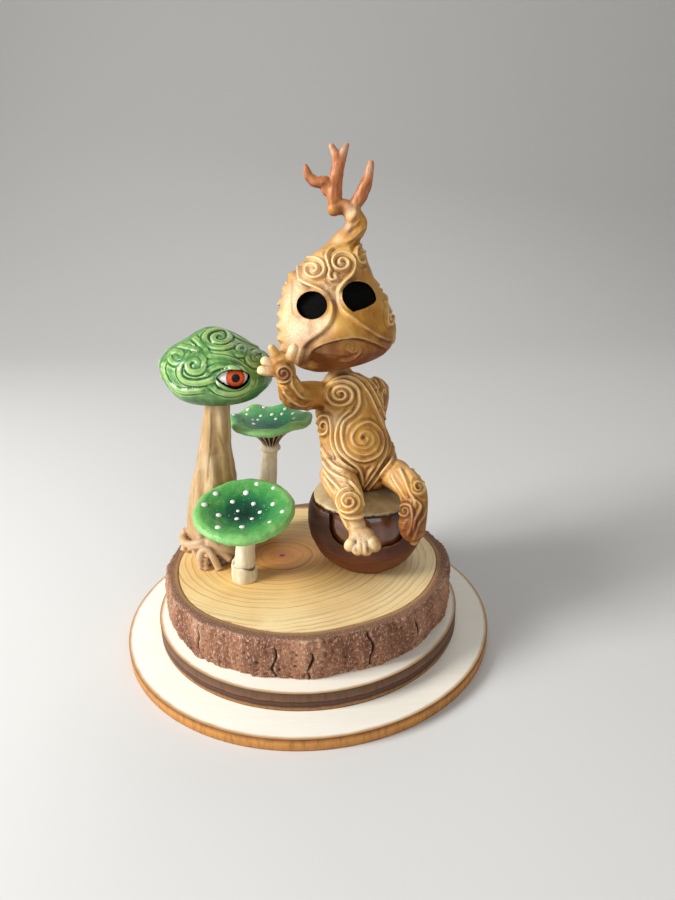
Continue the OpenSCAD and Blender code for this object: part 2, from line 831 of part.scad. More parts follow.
module dish_toadstool_volva()
    color("cornsilk")
        on_slice(dish_toadstool_at)
            difference() {
                translate(volva_at) cylinder(r1 = volva_r[0], r2 = volva_r[1], h = volva_h);
                dish_stem_skin(gap);
            }

module dish_toadstool_gills()
    color("dimgray")
        on_slice(dish_toadstool_at)
            difference() {
                in_dish() translate([0, 0, dish_gill_z]) gill_cone(dish_gill_r, dish_gill_h);
                rod(dish_pin_ends, core_d + 2 * gap);
            }

module dish_toadstool_cap()
    color("seagreen")
        on_slice(dish_toadstool_at)
            difference() {
                in_dish() rotate_extrude() polygon([for (p = dish_profile) [p[0] * dish_r, p[1]]]);
                rod(dish_pin_ends, core_d + 2 * gap);
            }

module dish_toadstool_pin() color("silver") on_slice(dish_toadstool_at) rod(dish_pin_ends, core_d);

base_plate();
riser_disc();
log_slice();
bark_ring();
seed_cup();
seed();
seed_crown();
seat_pin();
torso();
shoulder_pins();
hip_pins();
neck_peg();
arm_right();
hand_right();
arm_left();
hand_left();
leg_right();
foot_right();
leg_left();
foot_left();
head();
eye_right();
eye_left();
topknot();
topknot_pin();
antler_right();
antler_left();
antler_pins();
eye_toadstool_stem();
eye_toadstool_roots();
eye_toadstool_cap();
toadstool_eye();
eye_toadstool_pin();
funnel_toadstool_stem();
funnel_toadstool_collar();
funnel_toadstool_gills();
funnel_toadstool_cap();
funnel_toadstool_pin();
dish_toadstool_stem();
dish_toadstool_volva();
dish_toadstool_gills();
dish_toadstool_cap();
dish_toadstool_pin();
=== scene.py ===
# %% [markdown]
# # A tree spirit on its log slice
# This lesson dresses a small figurine. A carved spirit of air-dry clay sits on a polished seed beside
# three toadstools, and everything stands on a slice of log and two plywood discs.
# The construction comes from a CAD model in real sizes. Here each piece gets its carving, grain and paint.

# %% Load the CAD frame
import json
import math

import bpy
import numpy as np
from mathutils import Matrix, Vector, noise
from mathutils.bvhtree import BVHTree
from mathutils.kdtree import KDTree

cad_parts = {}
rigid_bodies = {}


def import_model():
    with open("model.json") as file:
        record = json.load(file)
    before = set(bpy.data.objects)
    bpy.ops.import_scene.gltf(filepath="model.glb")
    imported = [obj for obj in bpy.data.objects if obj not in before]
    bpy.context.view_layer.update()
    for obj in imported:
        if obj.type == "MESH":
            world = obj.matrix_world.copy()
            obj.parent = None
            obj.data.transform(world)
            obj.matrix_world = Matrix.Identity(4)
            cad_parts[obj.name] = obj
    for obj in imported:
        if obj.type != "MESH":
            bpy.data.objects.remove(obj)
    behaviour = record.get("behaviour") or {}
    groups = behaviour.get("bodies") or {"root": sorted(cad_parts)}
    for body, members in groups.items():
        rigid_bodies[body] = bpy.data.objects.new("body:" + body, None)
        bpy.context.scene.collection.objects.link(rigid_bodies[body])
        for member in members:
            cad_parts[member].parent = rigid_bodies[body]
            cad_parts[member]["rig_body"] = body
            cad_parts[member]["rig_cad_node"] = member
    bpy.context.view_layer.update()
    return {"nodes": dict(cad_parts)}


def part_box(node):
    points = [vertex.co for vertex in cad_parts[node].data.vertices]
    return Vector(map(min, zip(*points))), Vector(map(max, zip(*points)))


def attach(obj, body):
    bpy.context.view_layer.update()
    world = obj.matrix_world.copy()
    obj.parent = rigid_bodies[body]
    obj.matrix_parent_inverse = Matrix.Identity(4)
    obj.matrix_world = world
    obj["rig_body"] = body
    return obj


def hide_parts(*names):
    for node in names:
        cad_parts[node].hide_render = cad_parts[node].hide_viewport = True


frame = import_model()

MM = 0.001
scene = bpy.context.scene
scene.view_settings.view_transform = "Standard"

# %% [markdown]
# ## The camera
# The figurine was photographed from a little above, with a short lens close by. A camera that stands at the
# same place makes the carving easy: a line drawn on the picture can be pressed straight onto the clay.
# The distances are millimetres in the model's frame, and the lens is given in pixels of the picture.

# %% Camera
PICTURE = (675, 900)
LENS_PX = 700
SENSOR = 36
CAMERA_AT = Vector((10.96, -204.45, 142.71)) * MM
CAMERA_DIP = math.radians(21.4)
CAMERA_ROLL = math.radians(-1.31)

bpy.ops.object.select_all(action="DESELECT")
bpy.ops.object.camera_add()
camera = bpy.context.object
camera.data.sensor_width = SENSOR
camera.data.lens = LENS_PX * SENSOR / max(PICTURE)
camera.data.clip_start = 10 * MM
camera.matrix_world = (
    Matrix.Translation(CAMERA_AT)
    @ Matrix.Rotation(math.pi / 2 - CAMERA_DIP, 4, "X")
    @ Matrix.Rotation(CAMERA_ROLL, 4, "Z")
)
scene.camera = camera
bpy.context.view_layer.update()


def picture_ray(pixel):
    """Where the eye stands, and the direction in which it looks through a pixel of the picture."""
    across = (pixel[0] - PICTURE[0] / 2) / LENS_PX
    up = (PICTURE[1] / 2 - pixel[1]) / LENS_PX
    return CAMERA_AT, (camera.matrix_world.to_3x3() @ Vector((across, up, -1))).normalized()


def picture_pixels(points):
    """The pixels at which points in millimetres are seen."""
    turn = np.array(camera.matrix_world.to_3x3())
    seen = (points - np.array(CAMERA_AT) / MM) @ turn
    across, up = LENS_PX * seen[:, :2].T / -seen[:, 2]
    return np.stack([PICTURE[0] / 2 + across, PICTURE[1] / 2 - up], 1)


print("camera", [round(x, 3) for x in camera.location], "lens", round(camera.data.lens, 2), "mm")

# %% [markdown]
# ## Floor
# The floor is a pale sweep of paper, as in a small studio. It could be a plane and a wall, but a corner would show,
# so it is one plane whose back edge is pulled up, with a wide bevel in the bend.

# %% Floor
SWEEP_HALF = 1.6
SWEEP_BACK = 0.9
SWEEP_ROUND = 0.5


def rgb(code):
    """A colour written as on the web, such as c8a050, as linear red, green, blue and alpha."""
    parts = [int(code[k:k + 2], 16) / 255 for k in (0, 2, 4)]
    return tuple(p / 12.92 if p <= 0.04045 else ((p + 0.055) / 1.055) ** 2.4 for p in parts) + (1.0,)


bpy.ops.object.select_all(action="DESELECT")
bpy.ops.mesh.primitive_plane_add(size=2 * SWEEP_HALF, location=(0, SWEEP_BACK - SWEEP_HALF, 0))
floor = bpy.context.object
floor.name = "floor"
bpy.ops.object.transform_apply(location=True)
bpy.ops.object.mode_set(mode="EDIT")
bpy.ops.mesh.select_mode(type="EDGE")
bpy.ops.mesh.select_all(action="DESELECT")
bpy.ops.object.mode_set(mode="OBJECT")
for edge in floor.data.edges:
    edge.select = all(floor.data.vertices[v].co.y > SWEEP_BACK - 0.01 for v in edge.vertices)
bpy.ops.object.mode_set(mode="EDIT")
bpy.ops.mesh.extrude_region_move(TRANSFORM_OT_translate={"value": (0, 0, SWEEP_HALF)})
bpy.ops.object.mode_set(mode="OBJECT")
sweep = floor.modifiers.new("sweep", "BEVEL")
sweep.width = SWEEP_ROUND
sweep.segments = 16
sweep.limit_method = "ANGLE"
bpy.ops.object.modifier_apply(modifier=sweep.name)
bpy.ops.object.shade_smooth()

floor_paper = bpy.data.materials.new("floor_paper")
floor_paper.use_nodes = True
floor_shader = floor_paper.node_tree.nodes["Principled BSDF"]
floor_shader.inputs["Base Color"].default_value = rgb("d9d8d5")
floor_shader.inputs["Roughness"].default_value = 0.9
floor.data.materials.append(floor_paper)
print(floor.name, "is", 2 * SWEEP_HALF, "m wide")

# %% [markdown]
# ## Light
# One big soft lamp stands at the upper left, where the picture's light comes from. A weak one in front opens the
# shadows, and a third parts the figure from the backdrop. A picture of a room could light it too, but lamps can be
# set one by one.
# The object is small, so a few watts at half a metre already light it plainly.

# %% Lamps and sky
LAMP_AIM = (0, 0, 70)


def soft_lamp(name, at, watts, size):
    """A square area lamp that faces the figure's chest, with its place and size in millimetres."""
    bpy.ops.object.select_all(action="DESELECT")
    bpy.ops.object.light_add(type="AREA", location=Vector(at) * MM)
    lamp = bpy.context.object
    lamp.name = name
    lamp.data.energy = watts
    lamp.data.size = size * MM
    aim = Vector(LAMP_AIM) * MM - lamp.location
    lamp.rotation_euler = aim.to_track_quat("-Z", "Y").to_euler()


soft_lamp("window_lamp", (-560, -200, 370), 6.1, 260)
soft_lamp("fill_lamp", (150, -560, 300), 0.9, 400)
soft_lamp("back_lamp", (120, 420, 480), 0.6, 360)
world = bpy.data.worlds.new("studio")
scene.world = world
world.use_nodes = True
sky = world.node_tree.nodes["Background"]
sky.inputs["Color"].default_value = rgb("eeeeee")
sky.inputs["Strength"].default_value = 0.3

# %% [markdown]
# ## Tools for materials
# A material is a small network of nodes. It could be wired by hand in the shader editor, but a script can be read
# again, so short helpers start a material, add a node with its inputs, or make a pattern. Patterns read Object
# coordinates, which are metres in the model's frame, so a scale of 1000 makes features one millimetre in size.

# %% Node helpers


def start_material(name, roughness, **sockets):
    """A new material, its node tree and its shader, with the sockets that stay the same all over."""
    material = bpy.data.materials.new(name)
    material.use_nodes = True
    tree = material.node_tree
    shader = tree.nodes["Principled BSDF"]
    shader.inputs["Roughness"].default_value = roughness
    for socket, value in sockets.items():
        shader.inputs[socket.replace("_", " ")].default_value = value
    return material, tree, shader


def add_node(tree, kind, inputs=(), **settings):
    """A node whose inputs are set, or wired where the value is another node's output."""
    node = tree.nodes.new("ShaderNode" + kind)
    for name, value in settings.items():
        setattr(node, name, value)
    for socket, value in dict(inputs).items():
        if isinstance(value, bpy.types.NodeSocket):
            tree.links.new(value, node.inputs[socket])
        else:
            node.inputs[socket].default_value = value
    return node


def object_place(tree):
    return add_node(tree, "TexCoord").outputs["Object"]


def height_of(tree):
    return add_node(tree, "SeparateXYZ", {0: object_place(tree)}).outputs[2]


def length_of(tree, vector):
    return add_node(tree, "VectorMath", {0: vector}, operation="LENGTH").outputs["Value"]


def stretched_place(tree, scale, centre=(0, 0, 0)):
    """Object coordinates from a centre in millimetres, with a scale for each axis."""
    moved = add_node(tree, "VectorMath", {0: object_place(tree), 1: Vector(centre) * MM}, operation="SUBTRACT")
    return add_node(tree, "VectorMath", {0: moved.outputs[0], 1: scale}, operation="MULTIPLY").outputs[0]


def cloudy(tree, place, scale, detail=4, rough=0.55):
    """Soft noise from 0 to 1."""
    wanted = {"Vector": place, "Scale": scale, "Detail": detail, "Roughness": rough}
    return add_node(tree, "TexNoise", wanted).outputs["Fac"]


def calc(tree, operation, a, b=0.0, c=0.0):
    return add_node(tree, "Math", {0: a, 1: b, 2: c}, operation=operation).outputs[0]


def swayed(tree, value, cloud, span):
    """A value that a cloud moves up and down within a span."""
    return calc(tree, "ADD", value, calc(tree, "MULTIPLY_ADD", cloud, span, -span / 2))


print("a texture scale of", 1 / MM, "makes features of one millimetre")

# %% [markdown]
# ## Tools for colour
# Paint lies on the figurine in layers: a ground, washes and rubbed highlights. The same is done here. A ramp gives
# the ground its tones, and each layer tints what is below it where some value is high, such as the depth of a
# groove that the mesh stores. That way one more layer is one more line.

# %% Colour helpers


def ramp(tree, value, stops):
    """Colours along a grey value, as pairs of place and colour code."""
    node = add_node(tree, "ValToRGB", {"Fac": value})
    bar = node.color_ramp.elements
    while len(bar) < len(stops):
        bar.new(0.5)
    for element, (place, code) in zip(bar, stops):
        element.position = place
        element.color = rgb(code)
    return node.outputs["Color"]


def mixed(tree, share, a, b, blend="MIX"):
    """Colour a turning into colour b by a share."""
    node = tree.nodes.new("ShaderNodeMix")
    node.data_type = "RGBA"
    node.blend_type = blend
    for socket, value in ((0, share), (6, a), (7, b)):
        if isinstance(value, bpy.types.NodeSocket):
            tree.links.new(value, node.inputs[socket])
        else:
            node.inputs[socket].default_value = value
    return node.outputs[2]


def between(tree, value, low, high):
    """0 below low, 1 above high, smooth in between."""
    wanted = {"Value": value, "From Min": low, "From Max": high}
    return add_node(tree, "MapRange", wanted, interpolation_type="SMOOTHSTEP").outputs["Result"]


def tinted(tree, colour, value, low, high, share, code):
    """A colour that turns into another where a value goes from low to high, by at most a share."""
    return mixed(tree, calc(tree, "MULTIPLY", between(tree, value, low, high), share), colour, rgb(code))


def attribute(tree, name):
    return add_node(tree, "Attribute", attribute_name=name).outputs["Fac"]


def paint(tree, shader, colour):
    tree.links.new(colour, shader.inputs["Base Color"])


def bump(tree, shader, height, depth):
    """Fine relief: depth is in millimetres."""
    wanted = {"Height": height, "Distance": depth * MM, "Strength": 1.0}
    tree.links.new(add_node(tree, "Bump", wanted).outputs["Normal"], shader.inputs["Normal"])


print("ochre in linear light:", [round(x, 3) for x in rgb("c78d36")])

# %% [markdown]
# ## Tools for meshes
# Most pieces start as a copy of their CAD solid, so they are in the right place and have the right size.
# A voxel remesh turns the copies into one even skin of small quads, as a sculptor would do before carving.
# Joining them by booleans would keep every seam.

# %% Copies and skins


def only(*pieces):
    """Selects these pieces alone, with the last one active."""
    bpy.ops.object.select_all(action="DESELECT")
    for piece in pieces:
        piece.select_set(True)
    bpy.context.view_layer.objects.active = pieces[-1]


def finish_modifier(piece, kind, **settings):
    """Adds a modifier with these settings and applies it."""
    only(piece)
    modifier = piece.modifiers.new(kind.lower(), kind)
    for name, value in settings.items():
        setattr(modifier, name, value)
    bpy.ops.object.modifier_apply(modifier=modifier.name)


def copy_of(name, *nodes):
    """One piece made of copies of CAD nodes, with its doubled points merged."""
    copies = []
    for node in nodes:
        copy = frame["nodes"][node].copy()
        copy.data = copy.data.copy()
        copy.data.materials.clear()
        copy.parent = None
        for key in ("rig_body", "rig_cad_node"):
            del copy[key]
        scene.collection.objects.link(copy)
        copies.append(copy)
    only(*copies)
    if len(copies) > 1:
        bpy.ops.object.join()
    piece = bpy.context.object
    piece.name = name
    bpy.ops.object.mode_set(mode="EDIT")
    bpy.ops.mesh.select_all(action="SELECT")
    bpy.ops.mesh.remove_doubles(threshold=0.001 * MM)
    bpy.ops.object.mode_set(mode="OBJECT")
    return piece


def keep_largest(piece):
    """Removes the closed pockets that bores leave inside a remeshed skin."""
    name = piece.name
    only(piece)
    bpy.ops.mesh.separate(type="LOOSE")
    parts = sorted(bpy.context.selected_objects, key=lambda o: len(o.data.vertices))
    for part in parts[:-1]:
        bpy.data.objects.remove(part)
    parts[-1].name = name
    return parts[-1]


def reskin(piece, voxel, swell):
    """An even skin over the piece. Swelling it a little first closes the glue gaps between its solids."""
    if swell:
        finish_modifier(piece, "DISPLACE", strength=swell * MM, mid_level=0)
    finish_modifier(piece, "REMESH", mode="VOXEL", voxel_size=voxel * MM)
    return keep_largest(piece)


print("points in the CAD meshes:", sum(len(node.data.vertices) for node in frame["nodes"].values()))

# %% [markdown]
# ## Tools for points
# The maker's fingers leave no facets, but a remesh does. Plain smoothing would shrink the fingers and antlers, so
# each smoothing pass is followed by one that swells the mesh by the same amount. Modifiers could do it too, but the
# carving needs every point's place as a number, and then it is quickest to smooth the numbers as well.

# %% Points of a mesh
RELAX = 0.5
SWELL_BACK = 0.52


def points_of(piece):
    flat = np.empty(len(piece.data.vertices) * 3)
    piece.data.vertices.foreach_get("co", flat)
    return flat.reshape(-1, 3) / MM


def place_points(piece, points):
    piece.data.vertices.foreach_set("co", (points * MM).ravel())
    piece.data.update()


def normals_of(piece):
    flat = np.empty(len(piece.data.vertices) * 3)
    piece.data.vertex_normals.foreach_get("vector", flat)
    return flat.reshape(-1, 3)


def edges_of(piece):
    flat = np.empty(len(piece.data.edges) * 2, dtype=np.int64)
    piece.data.edges.foreach_get("vertices", flat)
    return flat.reshape(-1, 2)


def neighbour_mean(values, edges):
    """The mean of each point's neighbours, for one or several columns of values."""
    a, b = edges.T
    count = np.bincount(a, minlength=len(values)) + np.bincount(b, minlength=len(values))
    columns = [
        np.bincount(a, column[b], len(values)) + np.bincount(b, column[a], len(values)) for column in values.T
    ]
    return np.stack(columns, 1) / np.maximum(count, 1)[:, None]


def softened(points, edges, passes, swell=SWELL_BACK):
    """The points after smoothing passes, each followed by a swelling one unless swell is 0."""
    for _ in range(passes):
        points = points + RELAX * (neighbour_mean(points, edges) - points)
        if swell:
            points = points - swell * (neighbour_mean(points, edges) - points)
    return points


def soften(piece, passes):
    place_points(piece, softened(points_of(piece), edges_of(piece), passes))


def move_out(piece, heights):
    """Moves each point along its normal by a height in millimetres."""
    place_points(piece, points_of(piece) + normals_of(piece) * np.asarray(heights)[:, None])


def smoothstep(low, high, values):
    t = np.clip((values - low) / (high - low), 0, 1)
    return t * t * (3 - 2 * t)


print("a smoothing pass moves points by", RELAX, "and swells them back by", SWELL_BACK)

# %% [markdown]
# ## Tools for finishing
# A finished piece has to know its material, the CAD body that it rides on and the CAD nodes that it stands for. Some
# meshes also store a number for each point, such as how deep it lies, so that the paint can follow the relief.
# That is surer than a bump or a baked picture, because it is measured on the shape itself.

# %% Finishing helpers
SMOOTH_ANGLE = math.radians(45)


def store(piece, name, values):
    """Keeps a number for each point of the mesh, for the material to read."""
    layer = piece.data.attributes.new(name, "FLOAT", "POINT")
    layer.data.foreach_set("value", np.asarray(values, np.float32))


def face_outwards(piece):
    """Turns the faces of a closed piece outwards."""
    only(piece)
    bpy.ops.object.mode_set(mode="EDIT")
    bpy.ops.mesh.select_all(action="SELECT")
    bpy.ops.mesh.normals_make_consistent(inside=False)
    bpy.ops.object.mode_set(mode="OBJECT")


def repeated(name, model, places):
    """One piece with a copy of the model at each place, given as a matrix. The model itself goes."""
    copies = []
    for place in places:
        copy = model.copy()
        copy.data = model.data.copy()
        copy.data.transform(place)
        scene.collection.objects.link(copy)
        copies.append(copy)
    bpy.data.objects.remove(model)
    only(*copies)
    bpy.ops.object.join()
    bpy.context.object.name = name
    return bpy.context.object


def hollows(piece, passes, depth):
    """From -1 on ridges to 1 in grooves: how far each point lies below the smoothed surface."""
    points = points_of(piece)
    below = ((softened(points, edges_of(piece), passes, swell=0) - points) * normals_of(piece)).sum(1)
    return np.clip(below / depth, -1, 1)


def dress(piece, material, body, slot, *nodes):
    """Gives a finished piece its material, its CAD body and the nodes that it stands for. The slot is not used."""
    piece.data.materials.clear()
    piece.data.materials.append(material)
    only(piece)
    bpy.ops.object.shade_smooth_by_angle(angle=SMOOTH_ANGLE)
    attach(piece, body)
    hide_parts(*nodes)
    print(piece.name, "has", len(piece.data.polygons), "faces and stands for", list(nodes))


print("edges sharper than", round(math.degrees(SMOOTH_ANGLE)), "degrees stay sharp")

# %% [markdown]
# ## Tools for drawing
# The ornament is drawn on the clay before it is carved. A line is drawn either on the picture, in pixels, or on a
# side that the picture doesn't show, in millimetres seen square on. Either way it is pressed onto the skin along
# the line of sight. Curve objects could be wrapped onto the skin by a modifier, but a ray meets it exactly.
# Most lines curl up at an end, and the curl is a spiral that shrinks evenly to its middle.

# %% Drawing helpers


def coil(centre, outer, turns, squeeze=(1, 1)):
    """Points of a spiral from its outer end to its middle; positive turns run clockwise in the picture."""
    start = ((outer[0] - centre[0]) / squeeze[0], (outer[1] - centre[1]) / squeeze[1])
    radius, angle = math.hypot(*start), math.atan2(start[1], start[0])
    steps = max(6, int(abs(turns) * 12))
    points = []
    for k in range(steps + 1):
        r = radius * (1 - 0.9 * k / steps)
        a = angle + 2 * math.pi * turns * k / steps
        points.append((centre[0] + r * squeeze[0] * math.cos(a), centre[1] + r * squeeze[1] * math.sin(a)))
    return points


def smooth_line(points, step):
    """Closely spaced points on a smooth curve through the given ones."""
    p = np.array(points, float)
    p = np.concatenate([[2 * p[0] - p[1]], p, [2 * p[-1] - p[-2]]])
    line = []
    for a, b, c, d in zip(p, p[1:], p[2:], p[3:]):
        for t in np.arange(0, 1, step / max(np.linalg.norm(c - b), step)):
            line.append(
                0.5 * (2 * b + (c - a) * t + (2 * a - 5 * b + 4 * c - d) * t**2 + (3 * b - a - 3 * c + d) * t**3)
            )
    return line + [p[-2]]


def skin_tree(piece):
    return BVHTree.FromObject(piece, bpy.context.evaluated_depsgraph_get())


def press_picture(tree, line, step=0.5):
    """A line drawn on the picture, as points on the skin in millimetres."""
    hits = [tree.ray_cast(*picture_ray(pixel))[0] for pixel in smooth_line(line, step)]
    return np.array([hit / MM for hit in hits if hit]).reshape(-1, 3)


def press_side(tree, azimuth, line, step=0.2):
    """A line in millimetres, across and up, as seen from a side: azimuth 0 is the front, 180 the back.

    Only the points that the camera can't see are kept, so these lines never cross those of the picture.
    """
    a = math.radians(azimuth)
    across, outward = Vector((math.cos(a), math.sin(a), 0)), Vector((math.sin(a), -math.cos(a), 0))
    kept = []
    for x, z in smooth_line(line, step):
        eye = (across * x + Vector((0, 0, z)) + outward * 300) * MM
        hit = tree.ray_cast(eye, -outward)[0]
        if hit:
            look = hit - CAMERA_AT
            seen = tree.ray_cast(CAMERA_AT, look.normalized())[0]
            if seen and (seen - hit).length > 1.5 * MM:
                kept.append(hit / MM)
    return np.array(kept).reshape(-1, 3)


def press_all(tree, seen, hidden):
    """All lines of a piece on its skin: those on the picture, then those of each hidden side by its azimuth."""
    drawn = [press_picture(tree, line) for line in seen]
    for azimuth, lines in hidden.items():
        drawn += [press_side(tree, azimuth, line) for line in lines]
    return drawn


print("a coil of two turns has", len(coil((0, 0), (10, 0), 2)), "points")

# %% [markdown]
# ## Tools for carving
# The carver scoops out the clay beside a drawn line, so that a thin crest is left standing between two smooth
# hollows. Around the face only one side is scooped, which leaves a step. A sculpt brush would do this by hand.
# Here each point of the skin measures its distance to the nearest line and moves along its normal by a height
# that depends on the distance, so the same line always leaves the same cut.

# %% Carving helpers
CREST = 0.42
CREST_RISE = 0.42
HOLLOW_DROP = 0.42
HOLLOW_MIDDLE = 1.1
HOLLOW_REACH = 2.3


def nearest_drawn(points, lines):
    """For each point: its distance to the nearest line, the spot there, the line's way, and how far its end is."""
    lines = [line for line in lines if len(line) > 2]
    spots = np.concatenate(lines)
    ways = np.concatenate([np.gradient(line, axis=0) for line in lines])
    to_end = []
    for line in lines:
        along = np.concatenate([[0], np.cumsum(np.linalg.norm(np.diff(line, axis=0), axis=1))])
        to_end.append(np.minimum(along, along[-1] - along))
    tree = KDTree(len(spots))
    for k, spot in enumerate(spots):
        tree.insert(spot, k)
    tree.balance()
    found = [tree.find(p) for p in points]
    index = np.array([f[1] for f in found])
    return np.array([f[2] for f in found]), spots[index], ways[index], np.concatenate(to_end)[index]


def carve(piece, lines, rise=CREST_RISE, drop=HOLLOW_DROP):
    """Leaves a thin crest along each line, with wide smooth hollows beside it."""
    gap, _, _, to_end = nearest_drawn(points_of(piece), lines)
    crest = np.exp(-((gap / CREST) ** 2))
    hollow = smoothstep(0.2, HOLLOW_MIDDLE, gap) * smoothstep(HOLLOW_REACH, HOLLOW_MIDDLE, gap)
    move_out(piece, smoothstep(-0.7, 1.2, to_end) * (rise * crest - drop * hollow))


def carve_ribbon(piece, lines, width, rise):
    """Leaves a broad round band along each line, with a narrow groove on either side."""
    gap, _, _, to_end = nearest_drawn(points_of(piece), lines)
    band = np.sqrt(np.clip(1 - (gap / width) ** 2, 0, 1))
    groove = np.exp(-(((gap / width - 1.15) / 0.28) ** 2))
    move_out(piece, rise * smoothstep(-0.6, 1.6, to_end) * (0.6 * band - 0.7 * groove))


def carve_step(piece, line, side, rise, drop, reach):
    """Leaves an edge along a line and scoops the clay on one side: 1 is the left of the way it runs, -1 the right."""
    points = points_of(piece)
    gap, spots, ways, to_end = nearest_drawn(points, [line])
    scooped = side * (np.cross(normals_of(piece), ways) * (points - spots)).sum(1) > 0
    edge = rise * np.exp(-((gap / (0.3 * reach)) ** 2))
    scoop = drop * smoothstep(0.15, 0.9, gap) * np.exp(-((gap / reach) ** 2))
    move_out(piece, smoothstep(0, reach, to_end) * np.where(scooped, edge * 0.6 - scoop, edge))


print("crests are", CREST, "mm wide and hollows reach", HOLLOW_REACH, "mm")

# %% [markdown]
# ## Tools for soft forms
# Before and after the carving, clay is pressed with a fingertip: a lump here, a dent there, a seam smeared away.
# Each touch is a spot on the picture with a radius and an amount, and it fades out like a bell. Proportional editing
# would do the same, one spot at a time.

# %% Soft form helpers


def melt(piece, share, passes):
    """Smooths the skin where the share is above 0, to blend a seam or round an edge."""
    points = points_of(piece)
    smooth = softened(points, edges_of(piece), passes, swell=0)
    place_points(piece, points + share[:, None] * (smooth - points))


def blobs(piece, spots):
    """For each spot on the skin, a soft blob over all points: a spot is a pixel, a radius and an amount."""
    tree, points = skin_tree(piece), points_of(piece)
    for pixel, radius, amount in spots:
        hit = tree.ray_cast(*picture_ray(pixel))[0]
        if hit:
            yield amount * np.exp(-(np.linalg.norm(points - np.array(hit / MM), axis=1) / radius) ** 2)


def near_pixels(piece, spots):
    """For each point, the strongest of several soft blobs on the skin."""
    best = np.zeros(len(piece.data.vertices))
    for blob in blobs(piece, spots):
        best = np.maximum(best, blob)
    return best


def swell(piece, spots):
    """Pushes soft lumps out of the skin, or hollows in: the amounts are heights."""
    move_out(piece, sum(blobs(piece, spots)))


def inside_outline(pixels, outline):
    """Which pixels lie inside a closed outline on the picture."""
    x, y = pixels.T
    inside = np.zeros(len(pixels), bool)
    for (x0, y0), (x1, y1) in zip(outline, np.roll(outline, -1, 0)):
        crosses = (y0 > y) != (y1 > y)
        inside ^= crosses & (x < (x1 - x0) * (y - y0) / np.where(y1 == y0, 1e-9, y1 - y0) + x0)
    return inside


def faces_camera(piece):
    view = np.array(CAMERA_AT) / MM - points_of(piece)
    return (normals_of(piece) * view).sum(1) > 0


print("a touch of radius 4 mm has faded to", round(math.exp(-4), 3), "of its height at 8 mm")

# %% [markdown]
# ## The plywood discs
# The figurine stands on a thin plate with a smaller riser on it, both cut from plywood by heat. Their faces are
# pale cream and their cut edges are scorched: orange-brown on the plate, dark walnut with the plies showing on
# the riser. Each is a cylinder whose sharp rims get a small bevel, because a real rim is never knife sharp.
# The scorch creeps a little way onto the face, so the colour depends on the distance from the rim.

# %% Plywood discs
RIM_BEVEL = 0.25
SCORCH = 1.5
EDGE_LINE = 0.2


def ply_disc(name, node):
    """A disc as large as its CAD node, with softened rims."""
    low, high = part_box(node)
    bpy.ops.object.select_all(action="DESELECT")
    bpy.ops.mesh.primitive_cylinder_add(
        vertices=192, radius=(high.x - low.x) / 2, depth=high.z - low.z, location=(low + high) / 2
    )
    disc = bpy.context.object
    disc.name = name
    bpy.ops.object.transform_apply(location=True)
    finish_modifier(disc, "BEVEL", width=RIM_BEVEL * MM, segments=3, limit_method="ANGLE")
    return disc


def ply_finish(name, node, edge_stops):
    """Pale plywood whose edge takes its colours from bottom to top."""
    low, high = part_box(node)
    material, tree, shader = start_material(name, 0.62)
    place = object_place(tree)
    grain = cloudy(tree, stretched_place(tree, (90, 900, 900)), 1, 6)
    speck = cloudy(tree, stretched_place(tree, (300, 4200, 300)), 1, 2)
    face = ramp(tree, grain, [(0.25, "f3ecda"), (0.5, "f6f0e1"), (0.75, "f8f3e7")])
    face = tinted(tree, face, speck, 0.66, 0.8, 0.3, "e3d5b2")
    split = add_node(tree, "SeparateXYZ", {0: place})
    reach = length_of(tree, add_node(tree, "CombineXYZ", {0: split.outputs[0], 1: split.outputs[1]}).outputs[0])
    wobble = cloudy(tree, place, 220, 3)
    height = calc(tree, "MULTIPLY_ADD", calc(tree, "SUBTRACT", split.outputs[2], low.z), 1 / (high.z - low.z))
    edge = ramp(tree, swayed(tree, height, wobble, 0.16), edge_stops)
    burn = cloudy(tree, stretched_place(tree, (900, 900, 160)), 1, 5, 0.7)
    edge = tinted(tree, edge, burn, 0.42, 0.75, 0.55, "3a2312")
    radius = (high.x - low.x) / 2
    line = radius - EDGE_LINE * MM
    rim = swayed(tree, reach, wobble, 0.6 * MM)
    face = tinted(tree, face, rim, radius - SCORCH * MM, line, 1, "b98a4e")
    paint(tree, shader, mixed(tree, between(tree, reach, line, radius - EDGE_LINE / 4 * MM), face, edge))
    bump(tree, shader, grain, 0.03)
    return material


plate = ply_disc("plate", "base_plate")
plate_ply = ply_finish(
    "plate_ply",
    "base_plate",
    [(0, "8a5222"), (0.15, "c07f38"), (0.6, "cf9147"), (0.86, "a8692c"), (0.97, "6b3f1b")],
)
dress(plate, plate_ply, "stand", "ply_pale", "base_plate")
riser = ply_disc("riser", "riser_disc")
riser_ply = ply_finish(
    "riser_ply",
    "riser_disc",
    [(0, "4a2c14"), (0.1, "a8763f"), (0.2, "8a5a30"), (0.26, "3b2213"), (0.42, "5c3823"), (0.5, "2f1b10"),
     (0.56, "7a4f33"), (0.8, "6a4630"), (0.92, "5a4630"), (1, "3d2a1a")],
)
dress(riser, riser_ply, "stand", "ply_dark", "riser_disc")

# %% [markdown]
# ## The log slice
# The wood keeps its CAD solid, because a sawn and sanded face is flat. What makes it wood are the growth rings:
# they run round the pith, which isn't in the middle, and they wander a little. The rings are a wave of the
# distance from the pith, bent by slow noise. Close to the pith the heartwood is redder.

# %% Growth rings
PITH = (-8.6, 3.2)
RING_STEP = 1.9
LOG_RADIUS = 48

